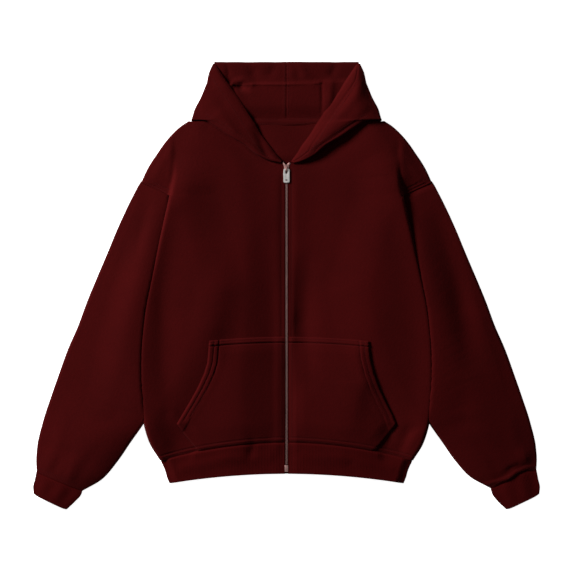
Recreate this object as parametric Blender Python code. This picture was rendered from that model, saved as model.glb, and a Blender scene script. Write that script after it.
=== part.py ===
"""Zip-up hoodie laid flat on its back, sleeves swung down and half under the body.

Metres, +Z up. The origin is on the surface it lies on, at the middle of its outline; +Y runs
to the hood. Every cloth piece is a wall of one thickness round a middle surface, and the
pieces that are sewn together end a small gap apart. Sizes below are in millimetres.
"""
import math
from collections import namedtuple

import bpy
import bmesh
from mathutils import Vector

MM = 0.001
CLOTH = 2.4           # heavy brushed fleece, and the folded rib of cuffs and band
TAPE = 1.0            # zip tape and neck tape
GAP = 0.3             # between pieces that touch or are sewn together
AIR = 3.0             # between two layers of cloth that lie on each other
LAYER = CLOTH + AIR   # middle to middle of those layers
LOW = CLOTH / 2       # middle of a layer that lies on the surface
HIGH = LOW + LAYER    # middle of the layer above it
ROLL = LAYER / 2      # radius of a fold, at the middle of the cloth
RIM = ROLL + CLOTH / 2
RETURN = 2.0          # how far a folded edge runs back to its seam
ARC_STEPS = 5

OUTLINE_MIDDLE = -1.6  # garment's own Y at the middle of its outline

# Body. Y of each row at the zip, half width at the zip or neck seam, half width at the side.
BodyRow = namedtuple("BodyRow", "y inner side edge")
FRONT_EDGE = 4.8
BODY_ROWS = (
    BodyRow(-302, FRONT_EDGE, 245, "fold"),
    BodyRow(-275, FRONT_EDGE, 264, "fold"),
    BodyRow(-248, FRONT_EDGE, 274, "fold"),
    BodyRow(-234, FRONT_EDGE, 277, "fold"),
    BodyRow(-220, FRONT_EDGE, 279, "fold"),
    BodyRow(-190, FRONT_EDGE, 282, "fold"),
    BodyRow(-156, FRONT_EDGE, 283, "fold"),
    BodyRow(-120, FRONT_EDGE, 282, "fold"),
    BodyRow(-85, FRONT_EDGE, 279, "fold"),
    BodyRow(-44, FRONT_EDGE, 274, "fold"),
    BodyRow(-8, FRONT_EDGE, 267, "fold"),
    BodyRow(50, FRONT_EDGE, 254, "fold"),
    BodyRow(112, FRONT_EDGE, 240, "fold"),
    BodyRow(156, FRONT_EDGE, 230, "fold"),
    BodyRow(175, FRONT_EDGE, 226, "seam"),
    BodyRow(200, FRONT_EDGE, 281, "seam"),
    BodyRow(224, FRONT_EDGE, 270, "fold"),
    BodyRow(236, 11, 263, "fold"),
    BodyRow(241, 32, 260, "fold"),
    BodyRow(254, 59, 251, "fold"),
    BodyRow(273, 82, 238, "fold"),
    BodyRow(291, 113, 223, "fold"),
    BodyRow(307, 136.5, 206, "fold"),
    BodyRow(317.6, 159, 190, "fold"),
)
BACK_NECK = 316.0     # Y of the back neck seam
HEM_DIP = 36.0        # the hem seam hangs this much lower at the sides than at the zip
HEM_DIP_TOP = -100.0  # Y above which rows run straight across

# Where the swung sleeve begins under the body: half width against Y.
UnderRow = namedtuple("UnderRow", "y x")
UNDER_ROWS = (
    UnderRow(-340, 328),
    UnderRow(-268, 276),
    UnderRow(-181, 226),
    UnderRow(-85, 186),
    UnderRow(-8, 157),
    UnderRow(112, 203),
    UnderRow(176, 227),
    UnderRow(201, 282),
)
UNDER_RAMP = 18.0               # width over which the body climbs onto the sleeve
UNDER_MARGIN = 5.0              # the climb is over this far before the sleeve begins
UNDER_LIFT = LAYER + CLOTH + 0.6
UNDER_FULL_Y = 176.0            # the climb fades out from here to the shoulder point
UNDER_NONE_Y = 201.0

# Sleeve: outer and inner edge of each row, from the armhole seam to the cuff seam.
SleeveRow = namedtuple("SleeveRow", "outer_x outer_y inner_x inner_y")
SLEEVE_ROWS = (
    SleeveRow(283, 201, 157, -8),
    SleeveRow(307, 154, 166, -32),
    SleeveRow(328, 108, 175, -57),
    SleeveRow(347, 62, 186, -85),
    SleeveRow(367, 15, 198, -115),
    SleeveRow(386, -31, 212, -148),
    SleeveRow(403, -77, 226, -181),
    SleeveRow(423, -123, 242, -210),
    SleeveRow(440, -170, 259, -239),
    SleeveRow(456, -216, 277, -268),
    SleeveRow(471, -262, 301, -302),
    SleeveRow(482, -309, 325, -337),
    SleeveRow(484, -336, 356, -373),
    SleeveRow(483, -359.5, 394, -395.5),
)
ARMHOLE_CORNER = (227.0, 176.0)   # the armhole seam bends here, below the shoulder
ARMHOLE_BULGE = (1.0, 0.6, 0.3, 0.1)  # how far that bend carries into the first sleeve rows
CUFF_ROWS = (
    SleeveRow(483.4, -360.6, 394, -396.6),
    SleeveRow(489, -374, 396.5, -403),
    SleeveRow(491.5, -389, 407, -417),
    SleeveRow(488.5, -405, 425, -433.5),
)

# Waistband: share of its depth, and half width at the side fold.
BandRow = namedtuple("BandRow", "share side")
BAND_ROWS = (
    BandRow(0.0, 244.5),
    BandRow(0.45, 236.5),
    BandRow(0.75, 233.0),
    BandRow(1.0, 228.5),
)
BAND_BOTTOM = -363.0
BAND_BOTTOM_DIP = 19.0

# Hood: fold or neck seam of each row, and the front opening's edge on either half.
HoodRow = namedtuple("HoodRow", "outer_x outer_y outer_z left_x left_y right_x right_y edge_z")
HOOD_ROWS = (
    HoodRow(138.5, 427.0, 12.0, 132, 424, 131, 423, 12.0),
    HoodRow(149, 409, 14.0, 126, 409, 124, 410, 16.0),
    HoodRow(154, 391, 16.0, 115, 391, 111, 391, 18.0),
    HoodRow(157, 385, 16.0, 111, 384, 106, 382, 18.0),
    HoodRow(166, 363, 17.0, 93, 362, 90, 359, 18.0),
    HoodRow(178, 340, 16.0, 78, 338, 76, 340, 17.0),
    HoodRow(184, 322, 13.0, 70, 324, 66, 324, 16.0),
    HoodRow(160, 321, 9.0, 62, 312, 58, 312, 15.0),
    HoodRow(134, 307, HIGH, 53, 297, 49, 297, 14.0),
    HoodRow(111, 291, HIGH, 43, 283, 40, 284, 13.0),
    HoodRow(80, 273, HIGH, 33, 270, 30, 271, 12.0),
    HoodRow(57, 254, HIGH, 23, 257, 22, 259, 11.0),
    HoodRow(30, 241, HIGH, 14, 247, 14, 247, 10.0),
)
HOOD_CORNER_ROW = 6       # rows below this one have only the raised wing
HOOD_LEDGE_ROW = 2        # rows up to this one lie on the crown folded under
HOOD_LEDGE_Z = 6.2
CROWN_RETURN = 31.0       # how far the folded crown runs back underneath

# Pocket half: outer edge against the same row Y as the body.
PocketRow = namedtuple("PocketRow", "y outer")
POCKET_ROWS = (
    PocketRow(-99, 148),
    PocketRow(-112, 150.5),
    PocketRow(-142, 157),
    PocketRow(-170, 168),
    PocketRow(-195, 180),
    PocketRow(-246, 210),
    PocketRow(-275, 192),
    PocketRow(-300, 172),
)

# Zip
CHAIN_HALF = 2.9
CHAIN_THICK = 2.6
CHAIN_TOP = 238.0
CHAIN_SPLIT = 226.0       # the two rows part from here up
CHAIN_SPREAD = 6.5        # sideways, at the top end
CHAIN_BOTTOM = -344.3
BAND_END = -361.0
TAPE_WIDTH = 12.0
RETAINER = (8.0, 16.0, 3.2)
SLIDER = (9.0, 15.0, 0.9)     # width, length and thickness of its top plate
SLIDER_Y = 229.5
HINGE_Y = 226.0
HINGE_Z = 9.0
TAB = (12.0, 27.0, 1.2)
TAB_SLOT = (4.4, 8.2)
TAB_HOLE = (5.0, 2.4)

NECK_TAPE_HALF = 95.0
NECK_TAPE_LOW = 311.0
NECK_TAPE_HIGH = 324.0

Finish = namedtuple("Finish", "colour roughness metallic")
FLEECE = Finish((0.035, 0.003, 0.003), 0.95, 0.0)
RIB = Finish((0.030, 0.003, 0.003), 0.9, 0.0)
WOVEN = Finish((0.025, 0.004, 0.004), 0.8, 0.0)
CHAIN_METAL = Finish((0.20, 0.12, 0.11), 0.4, 1.0)
TAB_METAL = Finish((0.42, 0.38, 0.36), 0.35, 1.0)


def clear_scene():
    for item in list(bpy.data.objects):
        bpy.data.objects.remove(item, do_unlink=True)


def material(name, finish):
    made = bpy.data.materials.new(name)
    made.use_nodes = True
    shader = made.node_tree.nodes["Principled BSDF"]
    shader.inputs["Base Color"].default_value = (*finish.colour, 1.0)
    shader.inputs["Roughness"].default_value = finish.roughness
    shader.inputs["Metallic"].default_value = finish.metallic
    return made


def add_object(name, mesh, finish):
    """Puts a mesh in the scene under its node name, with a finish of its own."""
    mesh.materials.append(material(name + "_finish", finish))
    made = bpy.data.objects.new(name, mesh)
    bpy.context.scene.collection.objects.link(made)
    return made


def smoothstep(value):
    value = min(1.0, max(0.0, value))
    return value * value * (3.0 - 2.0 * value)


def mix(a, b, share):
    return a + (b - a) * share


def look_up(rows, key, value_key, at):
    """Straight-line reading of one column of a table against another that rises."""
    rows = sorted(rows, key=lambda row: getattr(row, key))
    if at <= getattr(rows[0], key):
        return getattr(rows[0], value_key)
    for before, after in zip(rows, rows[1:]):
        if at <= getattr(after, key):
            share = (at - getattr(before, key)) / (getattr(after, key) - getattr(before, key))
            return mix(getattr(before, value_key), getattr(after, value_key), share)
    return getattr(rows[-1], value_key)


# ---- walls of cloth from their middle surface

def thicken(name, points, cells, thickness, finish):
    """Closed wall of one thickness round a middle surface of points and four-sided cells."""
    middle = bmesh.new()
    corners = [middle.verts.new(point) for point in points]
    for cell in cells:
        middle.faces.new([corners[index] for index in cell])
    bmesh.ops.recalc_face_normals(middle, faces=middle.faces[:])
    middle.normal_update()
    middle.verts.index_update()
    wall = bmesh.new()
    half = thickness / 2
    above = {}
    below = {}
    for vert in middle.verts:
        if vert.link_faces:
            place = (vert.co * MM) - Vector((0, OUTLINE_MIDDLE * MM, 0))
            above[vert.index] = wall.verts.new(place + vert.normal * half * MM)
            below[vert.index] = wall.verts.new(place - vert.normal * half * MM)
    for face in middle.faces:
        ring = [vert.index for vert in face.verts]
        wall.faces.new([above[index] for index in ring])
        wall.faces.new([below[index] for index in reversed(ring)])
    for edge in middle.edges:
        if len(edge.link_faces) == 1:
            loop = edge.link_loops[0]
            start = loop.vert.index
            end = loop.link_loop_next.vert.index
            wall.faces.new([above[end], above[start], below[start], below[end]])
    bmesh.ops.triangulate(wall, faces=wall.faces[:])
    bmesh.ops.recalc_face_normals(wall, faces=wall.faces[:])
    mesh = bpy.data.meshes.new(name)
    wall.to_mesh(mesh)
    mesh.shade_smooth()
    mesh.set_sharp_from_angle(angle=math.radians(50))
    middle.free()
    wall.free()
    return add_object(name, mesh, finish)


def sheet(name, rows, thickness, finish, ring=False):
    """Wall through rows of points, all with the same number of points."""
    columns = len(rows[0])
    points = [point for row in rows for point in row]
    cells = []
    for index in range(len(rows) - 1):
        for column in range(columns if ring else columns - 1):
            beside = (column + 1) % columns
            low = index * columns
            high = low + columns
            cells.append((low + column, low + beside, high + beside, high + column))
    return thicken(name, points, cells, thickness, finish)


def mirrored(rows):
    return [[Vector((-point.x, point.y, point.z)) for point in row] for row in rows]


# ---- body

def bed(x, y):
    """Height of what lies under the body at a place: the swung sleeve, or nothing."""
    starts = look_up(UNDER_ROWS, "y", "x", y) - UNDER_MARGIN
    across = smoothstep((abs(x) - (starts - UNDER_RAMP)) / UNDER_RAMP)
    along = 1.0 - smoothstep((y - UNDER_FULL_Y) / (UNDER_NONE_Y - UNDER_FULL_Y))
    return UNDER_LIFT * across * along


def body_y(x, row_y, side):
    """Y of a row at half width x: the rows near the hem hang lower at the sides."""
    low = min(1.0, max(0.0, (HEM_DIP_TOP - row_y) / (HEM_DIP_TOP - BODY_ROWS[0].y)))
    return row_y - HEM_DIP * low * (x / side) ** 2


def body_point(x, row_y, side, layer):
    """Point of a body layer, at half width x on the row that starts at row_y at the zip."""
    y = body_y(x, row_y, side)
    return Vector((x, y, bed(x, y) + layer))


def body_columns(inner, outer, row_y, side):
    """Half widths of a row's points, closest where the body climbs onto the sleeve."""
    starts = outer
    for _ in range(6):
        starts = look_up(UNDER_ROWS, "y", "x", body_y(starts, row_y, side)) - UNDER_MARGIN
    foot = min(max(starts - UNDER_RAMP, inner + 8.0), outer - 6.0)
    climb = min(UNDER_RAMP, 0.6 * (outer - foot))
    columns = [mix(inner, foot, share) for share in (0.0, 0.3, 0.65, 1.0)]
    columns += [foot + climb * share for share in (0.33, 0.67, 1.0)]
    columns.append(outer)
    return columns


def side_arc(x, low, high):
    """Fold at the side, from the upper layer round to the lower, with its short return."""
    radius = (high - low) / 2
    points = []
    for step in range(1, ARC_STEPS + 1):
        angle = math.pi / 2 - math.pi * step / ARC_STEPS
        points.append((x + radius * math.cos(angle), low + radius + radius * math.sin(angle)))
    points.append((x - RETURN, low))
    return points


def front_rows():
    rows = []
    for row in BODY_ROWS:
        seam = row.edge == "seam"
        outer = row.side - (RIM if not seam else CLOTH)
        columns = body_columns(row.inner, outer, row.y, row.side)
        points = [body_point(x, row.y, row.side, HIGH) for x in columns]
        edge = points[-1]
        lift = edge.z - HIGH
        if seam:
            for step in range(1, ARC_STEPS + 2):
                down = 0.9 * step / (ARC_STEPS + 1)
                points.append(edge + Vector((0.25 * step, 0, -down * down * 1.6)))
        else:
            for x, z in side_arc(edge.x, LOW + lift, edge.z):
                points.append(Vector((x, edge.y, z)))
        rows.append(points)
    return rows


def back_rows():
    rows = []
    kept = [row for row in BODY_ROWS if row.y < BACK_NECK]
    neck_side = look_up(BODY_ROWS, "y", "side", BACK_NECK)
    kept.append(BodyRow(BACK_NECK, 0, neck_side, "fold"))
    for row in kept:
        outer = row.side - RIM - RETURN - GAP
        if row.edge == "seam":
            outer = row.side - CLOTH
        columns = body_columns(0.0, outer, row.y, row.side)
        half = [body_point(x, row.y, row.side, LOW) for x in columns]
        other = [Vector((-point.x, point.y, point.z)) for point in half[:0:-1]]
        rows.append(other + half)
    return rows


def build_body():
    rows = front_rows()
    sheet("front_right", rows, CLOTH, FLEECE)
    sheet("front_left", mirrored(rows), CLOTH, FLEECE)
    sheet("back", back_rows(), CLOTH, FLEECE)


# ---- sleeves and cuffs, tubes laid flat

def flat_ring(plan, low, high):
    """Closed section of a flattened tube over a line of plan points, outer edge first."""
    radius = (high - low) / 2
    rim = radius + CLOTH / 2
    start = (plan[0] - plan[1]).normalized()
    end = (plan[-1] - plan[-2]).normalized()
    middle = [plan[0] - start * rim] + plan[1:-1] + [plan[-1] - end * rim]
    ring = [Vector((place.x, place.y, high)) for place in middle]
    for step in range(1, ARC_STEPS):
        angle = math.pi / 2 - math.pi * step / ARC_STEPS
        place = middle[-1] + end * radius * math.cos(angle)
        ring.append(Vector((place.x, place.y, low + radius + radius * math.sin(angle))))
    ring += [Vector((place.x, place.y, low)) for place in reversed(middle)]
    for step in range(1, ARC_STEPS):
        angle = -math.pi / 2 + math.pi * step / ARC_STEPS
        place = middle[0] + start * radius * math.cos(angle)
        ring.append(Vector((place.x, place.y, low + radius + radius * math.sin(angle))))
    return ring


def armhole_offset(share):
    """How far the armhole seam lies from a straight line between its two ends."""
    top = SLEEVE_ROWS[0]
    corner_share = 0.24
    line = Vector((mix(top.outer_x, top.inner_x, corner_share),
                   mix(top.outer_y, top.inner_y, corner_share)))
    reach = Vector(ARMHOLE_CORNER) - line
    if share < corner_share:
        return reach * (share / corner_share)
    return reach * ((1.0 - share) / (1.0 - corner_share))


def sleeve_rings():
    rings = []
    for index, row in enumerate(SLEEVE_ROWS):
        bulge = ARMHOLE_BULGE[index] if index < len(ARMHOLE_BULGE) else 0.0
        plan = []
        for share in (0.0, 0.24, 0.43, 0.62, 0.81, 1.0):
            place = Vector((mix(row.outer_x, row.inner_x, share),
                            mix(row.outer_y, row.inner_y, share)))
            plan.append(place + armhole_offset(share) * bulge)
        if index == 0:
            plan = [place + Vector((1.6, -1.2)) for place in plan]
        rings.append(flat_ring(plan, LOW, HIGH))
    return rings


def cuff_rings():
    rings = []
    for row in CUFF_ROWS:
        plan = [Vector((mix(row.outer_x, row.inner_x, share), mix(row.outer_y, row.inner_y, share)))
                for share in (0.0, 0.33, 0.67, 1.0)]
        rings.append(flat_ring(plan, LOW, HIGH))
    return rings


def build_sleeves():
    for side, turn in (("right", list), ("left", mirrored)):
        sheet("sleeve_" + side, turn(sleeve_rings()), CLOTH, FLEECE, ring=True)
        sheet("cuff_" + side, turn(cuff_rings()), CLOTH, RIB, ring=True)


# ---- waistband, one strip round the hem, open at the zip

def band_row(row):
    def y_at(x):
        seam = BODY_ROWS[0].y - 2 * GAP - HEM_DIP * (x / BODY_ROWS[0].side) ** 2
        bottom = BAND_BOTTOM - BAND_BOTTOM_DIP * (x / BAND_ROWS[-1].side) ** 2
        return mix(seam, bottom, row.share)

    seam = BODY_ROWS[0]
    seam_outer = seam.side - RIM
    outer = row.side - RIM
    narrowing = (outer - FRONT_EDGE) / (seam_outer - FRONT_EDGE)
    half = []
    for x in body_columns(FRONT_EDGE, seam_outer, seam.y, seam.side):
        x = FRONT_EDGE + (x - FRONT_EDGE) * narrowing
        half.append(Vector((x, y_at(x), HIGH)))
    for x, z in side_arc(outer, LOW, HIGH)[:-1]:
        half.append(Vector((x, y_at(outer), z)))
    for x in reversed(body_columns(0.0, seam_outer - RETURN - GAP, seam.y, seam.side)[1:]):
        x = x * outer / seam_outer
        half.append(Vector((x, y_at(x), LOW)))
    other = [Vector((-point.x, point.y, point.z)) for point in reversed(half)]
    return half + [Vector((0, y_at(0), LOW))] + other


def build_waistband():
    sheet("waistband", [band_row(row) for row in BAND_ROWS], CLOTH, RIB)


# ---- hood, two halves that meet at the centre seam

def hood_row(index, half):
    """Centre seam, out along the surface, round the side fold and back over as the wing."""
    row = HOOD_ROWS[index]
    edge = Vector((getattr(row, half + "_x"), getattr(row, half + "_y"), row.edge_z))
    low = HOOD_LEDGE_Z if index <= HOOD_LEDGE_ROW else LOW
    folded = index <= HOOD_CORNER_ROW
    radius = (row.outer_z - low) / 2 if folded else 0.0
    turn = row.outer_x - (radius + CLOTH / 2 if folded else 0.0)
    low_y = BACK_NECK + GAP + 0.1 if index == HOOD_CORNER_ROW else row.outer_y
    points = []
    for share in (0.0, 0.2, 0.4, 0.6, 0.8, 1.0):
        points.append(Vector((mix(GAP / 2, turn, share), low_y, low)))
    for step in range(1, ARC_STEPS):
        angle = -math.pi / 2 + math.pi * step / ARC_STEPS
        points.append(Vector((turn + radius * math.cos(angle),
                              mix(low_y, row.outer_y, step / ARC_STEPS),
                              low + radius + radius * math.sin(angle))))
    outer = Vector((turn, row.outer_y, row.outer_z))
    for share in (0.0, 0.25, 0.5, 0.75, 1.0):
        points.append(outer.lerp(edge, share))
    return points


def crown_rows():
    """The crown turned over at the top and run back on the surface under the ledge."""
    top = hood_row(0, "left")[:6]
    radius = (HOOD_LEDGE_Z - LOW) / 2
    rows = []
    for x_scale, y, z in [(0.97, -CROWN_RETURN, 0.0), (0.985, -CROWN_RETURN / 2, 0.0)]:
        rows.append([Vector((point.x * x_scale if point.x > GAP else point.x,
                             point.y + y, LOW + z)) for point in top])
    for step in range(ARC_STEPS):
        angle = -math.pi / 2 + math.pi * step / ARC_STEPS
        rows.append([Vector((point.x, point.y + radius * math.cos(angle),
                             LOW + radius + radius * math.sin(angle))) for point in top])
    return rows


def hood_half(name, half, sign):
    points = []
    cells = []
    index_of = {}

    def add(row, column, point):
        index_of[(row, column)] = len(points)
        points.append(Vector((point.x * sign, point.y, point.z)))

    crown = crown_rows()
    for row, line in enumerate(crown):
        for column, point in enumerate(line):
            add(row - len(crown), column, point)
    for row in range(len(HOOD_ROWS)):
        line = hood_row(row, half)
        first = 0 if row <= HOOD_CORNER_ROW else 10
        for column in range(first, len(line)):
            add(row, column, line[column])
    for row, column in list(index_of):
        cell = [(row, column), (row, column + 1), (row + 1, column + 1), (row + 1, column)]
        if all(key in index_of for key in cell):
            cells.append([index_of[key] for key in cell])
    thicken(name, points, cells, CLOTH, FLEECE)


def build_hood():
    hood_half("hood_left", "left", -1)
    hood_half("hood_right", "right", 1)
    tape_z = CLOTH + GAP + TAPE / 2
    xs = [mix(-NECK_TAPE_HALF, NECK_TAPE_HALF, step / 6) for step in range(7)]
    rows = [[Vector((x, y, tape_z)) for x in xs] for y in (NECK_TAPE_LOW, NECK_TAPE_HIGH)]
    sheet("neck_tape", rows, TAPE, WOVEN)


# ---- pocket halves, laid on the fronts

def pocket_rows():
    rows = []
    for row in POCKET_ROWS:
        side = look_up(BODY_ROWS, "y", "side", row.y)
        line = []
        for share in (0.0, 0.2, 0.4, 0.6, 0.8, 1.0):
            x = mix(FRONT_EDGE, row.outer, share)
            line.append(body_point(x, row.y, side, HIGH + CLOTH + GAP))
        rows.append(line)
    return rows


def build_pockets():
    rows = pocket_rows()
    sheet("pocket_right", rows, CLOTH, FLEECE)
    sheet("pocket_left", mirrored(rows), CLOTH, FLEECE)


# ---- zip

def bar(name, rows, thickness, middle_z, finish):
    """Flat strip of plan rows (y, from x, to x)."""
    lines = [[Vector((start, y, middle_z)), Vector((end, y, middle_z))] for y, start, end in rows]
    return sheet(name, lines, thickness, finish)


def box_mesh(name, size, centre):
    made = bmesh.new()
    bmesh.ops.create_cube(made, size=1.0)
    for vert in made.verts:
        vert.co = Vector([(vert.co[axis] * size[axis] + centre[axis]) * MM for axis in range(3)])
    mesh = bpy.data.meshes.new(name)
    made.to_mesh(mesh)
    made.free()
    return mesh


def garment_y(y):
    return y - OUTLINE_MIDDLE


def boolean(target, mesh, operation):
    """Joins a shape to a piece, or cuts it out, with a hidden guide object."""
    guide = bpy.data.objects.new(mesh.name, mesh)
    guide.location = target.location
    guide.hide_render = True
    guide.display_type = "WIRE"
    bpy.context.scene.collection.objects.link(guide)
    modifier = target.modifiers.new(mesh.name, "BOOLEAN")
    modifier.operation = operation
    modifier.solver = "EXACT"
    modifier.object = guide


def build_chain():
    tape_z = HIGH - CLOTH / 2 - GAP - TAPE / 2
    chain_z = tape_z + 0.9
    split = GAP / 2
    for side, sign in (("right", 1), ("left", -1)):
        chain = [(CHAIN_BOTTOM, split, CHAIN_HALF), (CHAIN_SPLIT, split, CHAIN_HALF),
                 (CHAIN_TOP, split + CHAIN_SPREAD, CHAIN_HALF + CHAIN_SPREAD)]
        start = CHAIN_HALF + GAP
        clear = RETAINER[0] / 2 + GAP
        tape = [(BAND_END, clear, clear + TAPE_WIDTH), (CHAIN_BOTTOM, clear, clear + TAPE_WIDTH),
                (CHAIN_BOTTOM + 1, start, start + TAPE_WIDTH), (CHAIN_SPLIT, start, start + TAPE_WIDTH),
                (CHAIN_TOP, start + CHAIN_SPREAD, start + CHAIN_SPREAD + TAPE_WIDTH)]
        bar("zip_chain_" + side, [(y, sign * a, sign * b) for y, a, b in chain],
            CHAIN_THICK, chain_z, CHAIN_METAL)
        bar("zip_tape_" + side, [(y, sign * a, sign * b) for y, a, b in tape],
            TAPE, tape_z, WOVEN)
    middle = CHAIN_BOTTOM - GAP - RETAINER[1] / 2
    retainer = box_mesh("zip_retainer", RETAINER, (0, garment_y(middle), chain_z))
    piece = add_object("zip_retainer", retainer, CHAIN_METAL)
    rounding = piece.modifiers.new("rounded", "BEVEL")
    rounding.width = 0.6 * MM
    rounding.segments = 2


def build_slider():
    """Top and bottom plate, the post between the rows, and the bail that holds the tab."""
    top_z = HINGE_Z - TAB[2] / 2 - 0.4
    plate_z = top_z - SLIDER[2] / 2
    low_z = CLOTH + GAP + 0.1 + SLIDER[2] / 2
    y = garment_y(SLIDER_Y)
    slider = add_object("zip_slider", box_mesh("zip_slider", SLIDER, (0, y, plate_z)), CHAIN_METAL)
    boolean(slider, box_mesh("slider_low", SLIDER, (0, y, low_z)), "UNION")
    post_y = garment_y(235.3)
    post = box_mesh("slider_post", (1.8, 2.6, plate_z - low_z), (0, post_y, (plate_z + low_z) / 2))
    boolean(slider, post, "UNION")
    hinge = garment_y(HINGE_Y)
    bail_top = HINGE_Z + 2.9
    for name, offset in (("bail_low", -4.0), ("bail_high", 4.0)):
        leg = box_mesh(name, (1.8, 2.0, bail_top - plate_z),
                       (0, hinge + offset, (bail_top + plate_z) / 2))
        boolean(slider, leg, "UNION")
    boolean(slider, box_mesh("bail_top", (1.8, 9.9, 1.0), (0, hinge, bail_top - 0.55)), "UNION")


def build_tab():
    """Pull tab with its origin on the hinge: a bar under the bail, a slot and a small eye."""
    width, length, thick = TAB
    start = thick / 2
    plate = box_mesh("pull_tab", TAB, (0, start - length / 2, 0))
    made = bmesh.new()
    made.from_mesh(plate)
    corners = [edge for edge in made.edges
               if abs(edge.verts[0].co.z - edge.verts[1].co.z) > 0.5 * thick * MM]
    bmesh.ops.bevel(made, geom=corners, offset=2.6 * MM, segments=4, affect="EDGES", profile=0.5)
    made.to_mesh(plate)
    made.free()
    tab = add_object("pull_tab", plate, TAB_METAL)
    tab.location = (0, garment_y(HINGE_Y) * MM, HINGE_Z * MM)
    slot_y = -start - TAB_SLOT[1] / 2
    boolean(tab, box_mesh("tab_slot", (*TAB_SLOT, 3 * thick), (0, slot_y, 0)), "DIFFERENCE")
    eye_y = start - length + 5.0
    boolean(tab, box_mesh("tab_eye", (*TAB_HOLE, 3 * thick), (0, eye_y, 0)), "DIFFERENCE")


def build_zip():
    build_chain()
    build_slider()
    build_tab()


clear_scene()
build_body()
build_sleeves()
build_waistband()
build_hood()
build_pockets()
build_zip()
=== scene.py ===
import math

import bmesh
import bpy
import numpy as np
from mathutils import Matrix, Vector
from mathutils.bvhtree import BVHTree


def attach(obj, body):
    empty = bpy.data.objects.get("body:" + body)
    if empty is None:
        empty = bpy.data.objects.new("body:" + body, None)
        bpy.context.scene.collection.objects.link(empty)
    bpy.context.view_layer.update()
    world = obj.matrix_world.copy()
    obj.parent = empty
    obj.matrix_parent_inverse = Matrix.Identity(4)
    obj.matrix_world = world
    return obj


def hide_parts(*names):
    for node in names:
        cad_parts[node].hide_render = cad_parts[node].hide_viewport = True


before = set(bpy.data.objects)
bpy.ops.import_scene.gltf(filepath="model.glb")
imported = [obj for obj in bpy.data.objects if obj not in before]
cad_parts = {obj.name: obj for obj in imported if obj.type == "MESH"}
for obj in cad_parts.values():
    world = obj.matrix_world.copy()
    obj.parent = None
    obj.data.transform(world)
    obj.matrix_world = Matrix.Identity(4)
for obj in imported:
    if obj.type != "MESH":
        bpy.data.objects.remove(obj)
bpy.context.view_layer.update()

# All sizes are millimetres in the garment's own plan: x to the right, y to the hood, z up.
mm = 0.001
cloth = {
    "thick": 2.4,
    "low": 1.2,          # middle of the layer that lies on the table
    "high": 6.6,         # middle of the layer over it
    "lift": 8.4,         # how much higher the body lies on the sleeves
    "middleY": -1.6,     # the frame's origin in the garment's own y
    "cell": 3.6,         # mesh size of plain cloth
}
garment = "garment"
tabBody = "pull_tab"
bothSides = (("left", -1), ("right", 1))      # with the sign of x


def smoothStep(value):
    value = np.clip(value, 0.0, 1.0)
    return value * value * (3.0 - 2.0 * value)


def mix(a, b, share):
    return a + (b - a) * share


def through(at, xs, ys):
    # smooth curve through the points of a table, with no overshoot at its turns
    xs = np.asarray(xs, float)
    ys = np.asarray(ys, float)
    step = np.diff(ys) / np.diff(xs)
    slope = np.empty(len(xs))
    slope[0] = step[0]
    slope[-1] = step[-1]
    same = step[:-1] * step[1:] > 0
    slope[1:-1] = np.where(same, 2 * step[:-1] * step[1:] / np.where(same, step[:-1] + step[1:], 1), 0)
    at = np.clip(np.asarray(at, float), xs[0], xs[-1])
    low = np.clip(np.searchsorted(xs, at, side="right") - 1, 0, len(xs) - 2)
    width = xs[low + 1] - xs[low]
    t = (at - xs[low]) / width
    a = (1 + 2 * t) * (1 - t) ** 2 * ys[low] + t * (1 - t) ** 2 * width * slope[low]
    b = t * t * (3 - 2 * t) * ys[low + 1] + t * t * (t - 1) * width * slope[low + 1]
    return a + b


def pathDistance(x, y, path):
    # distance to a bent line, the share of its length at the nearest place, and the side
    best = np.full(np.shape(x), 1e9)
    share = np.zeros(np.shape(x))
    side = np.zeros(np.shape(x))
    path = np.asarray(path, float)
    lengths = np.hypot(*np.diff(path, axis=0).T)
    total = lengths.sum()
    done = 0.0
    for start, end, length in zip(path[:-1], path[1:], lengths):
        along = (end - start) / length
        dx, dy = x - start[0], y - start[1]
        t = np.clip(dx * along[0] + dy * along[1], 0, length)
        ox, oy = dx - t * along[0], dy - t * along[1]
        d = np.hypot(ox, oy)
        nearer = d < best
        best = np.where(nearer, d, best)
        share = np.where(nearer, (done + t) / total, share)
        side = np.where(nearer, (along[0] * oy - along[1] * ox) / np.maximum(d, 1e-6), side)
        done += length
    return best, share, side


def folds(x, y, rows):
    # soft ridges and troughs, each with its path, its width on either side and three sizes
    height = np.zeros(np.shape(x))
    for path, left, right, start, middle, end in rows:
        d, share, side = pathDistance(x, y, path)
        wide = mix(right, left, (1 + side) / 2)
        size = np.interp(share, [0, 0.5, 1], [start, middle, end])
        height += size * np.exp(-(d / wide) ** 2)
    return height


def addMesh(name, points, quads, material, smooth=True):
    points = np.asarray(points, float).reshape(-1, 3).copy()
    points[:, 1] -= cloth["middleY"]
    mesh = bpy.data.meshes.new(name)
    mesh.from_pydata((points * mm).tolist(), [], [list(map(int, face)) for face in quads])
    mesh.materials.append(material)
    if smooth:
        mesh.shade_smooth()
        mesh.set_sharp_from_angle(angle=math.radians(52))
    piece = bpy.data.objects.new(name, mesh)
    bpy.context.scene.collection.objects.link(piece)
    return piece


def gridQuads(rows, columns, ring=False, keep=None):
    index = np.arange(rows * columns).reshape(rows, columns)
    beside = np.roll(index, -1, axis=1) if ring else index[:, 1:]
    here = index if ring else index[:, :-1]
    quads = np.stack([here[:-1], beside[:-1], beside[1:], here[1:]], axis=-1)
    if keep is not None:
        quads = quads[keep]
    return quads.reshape(-1, 4)


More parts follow.
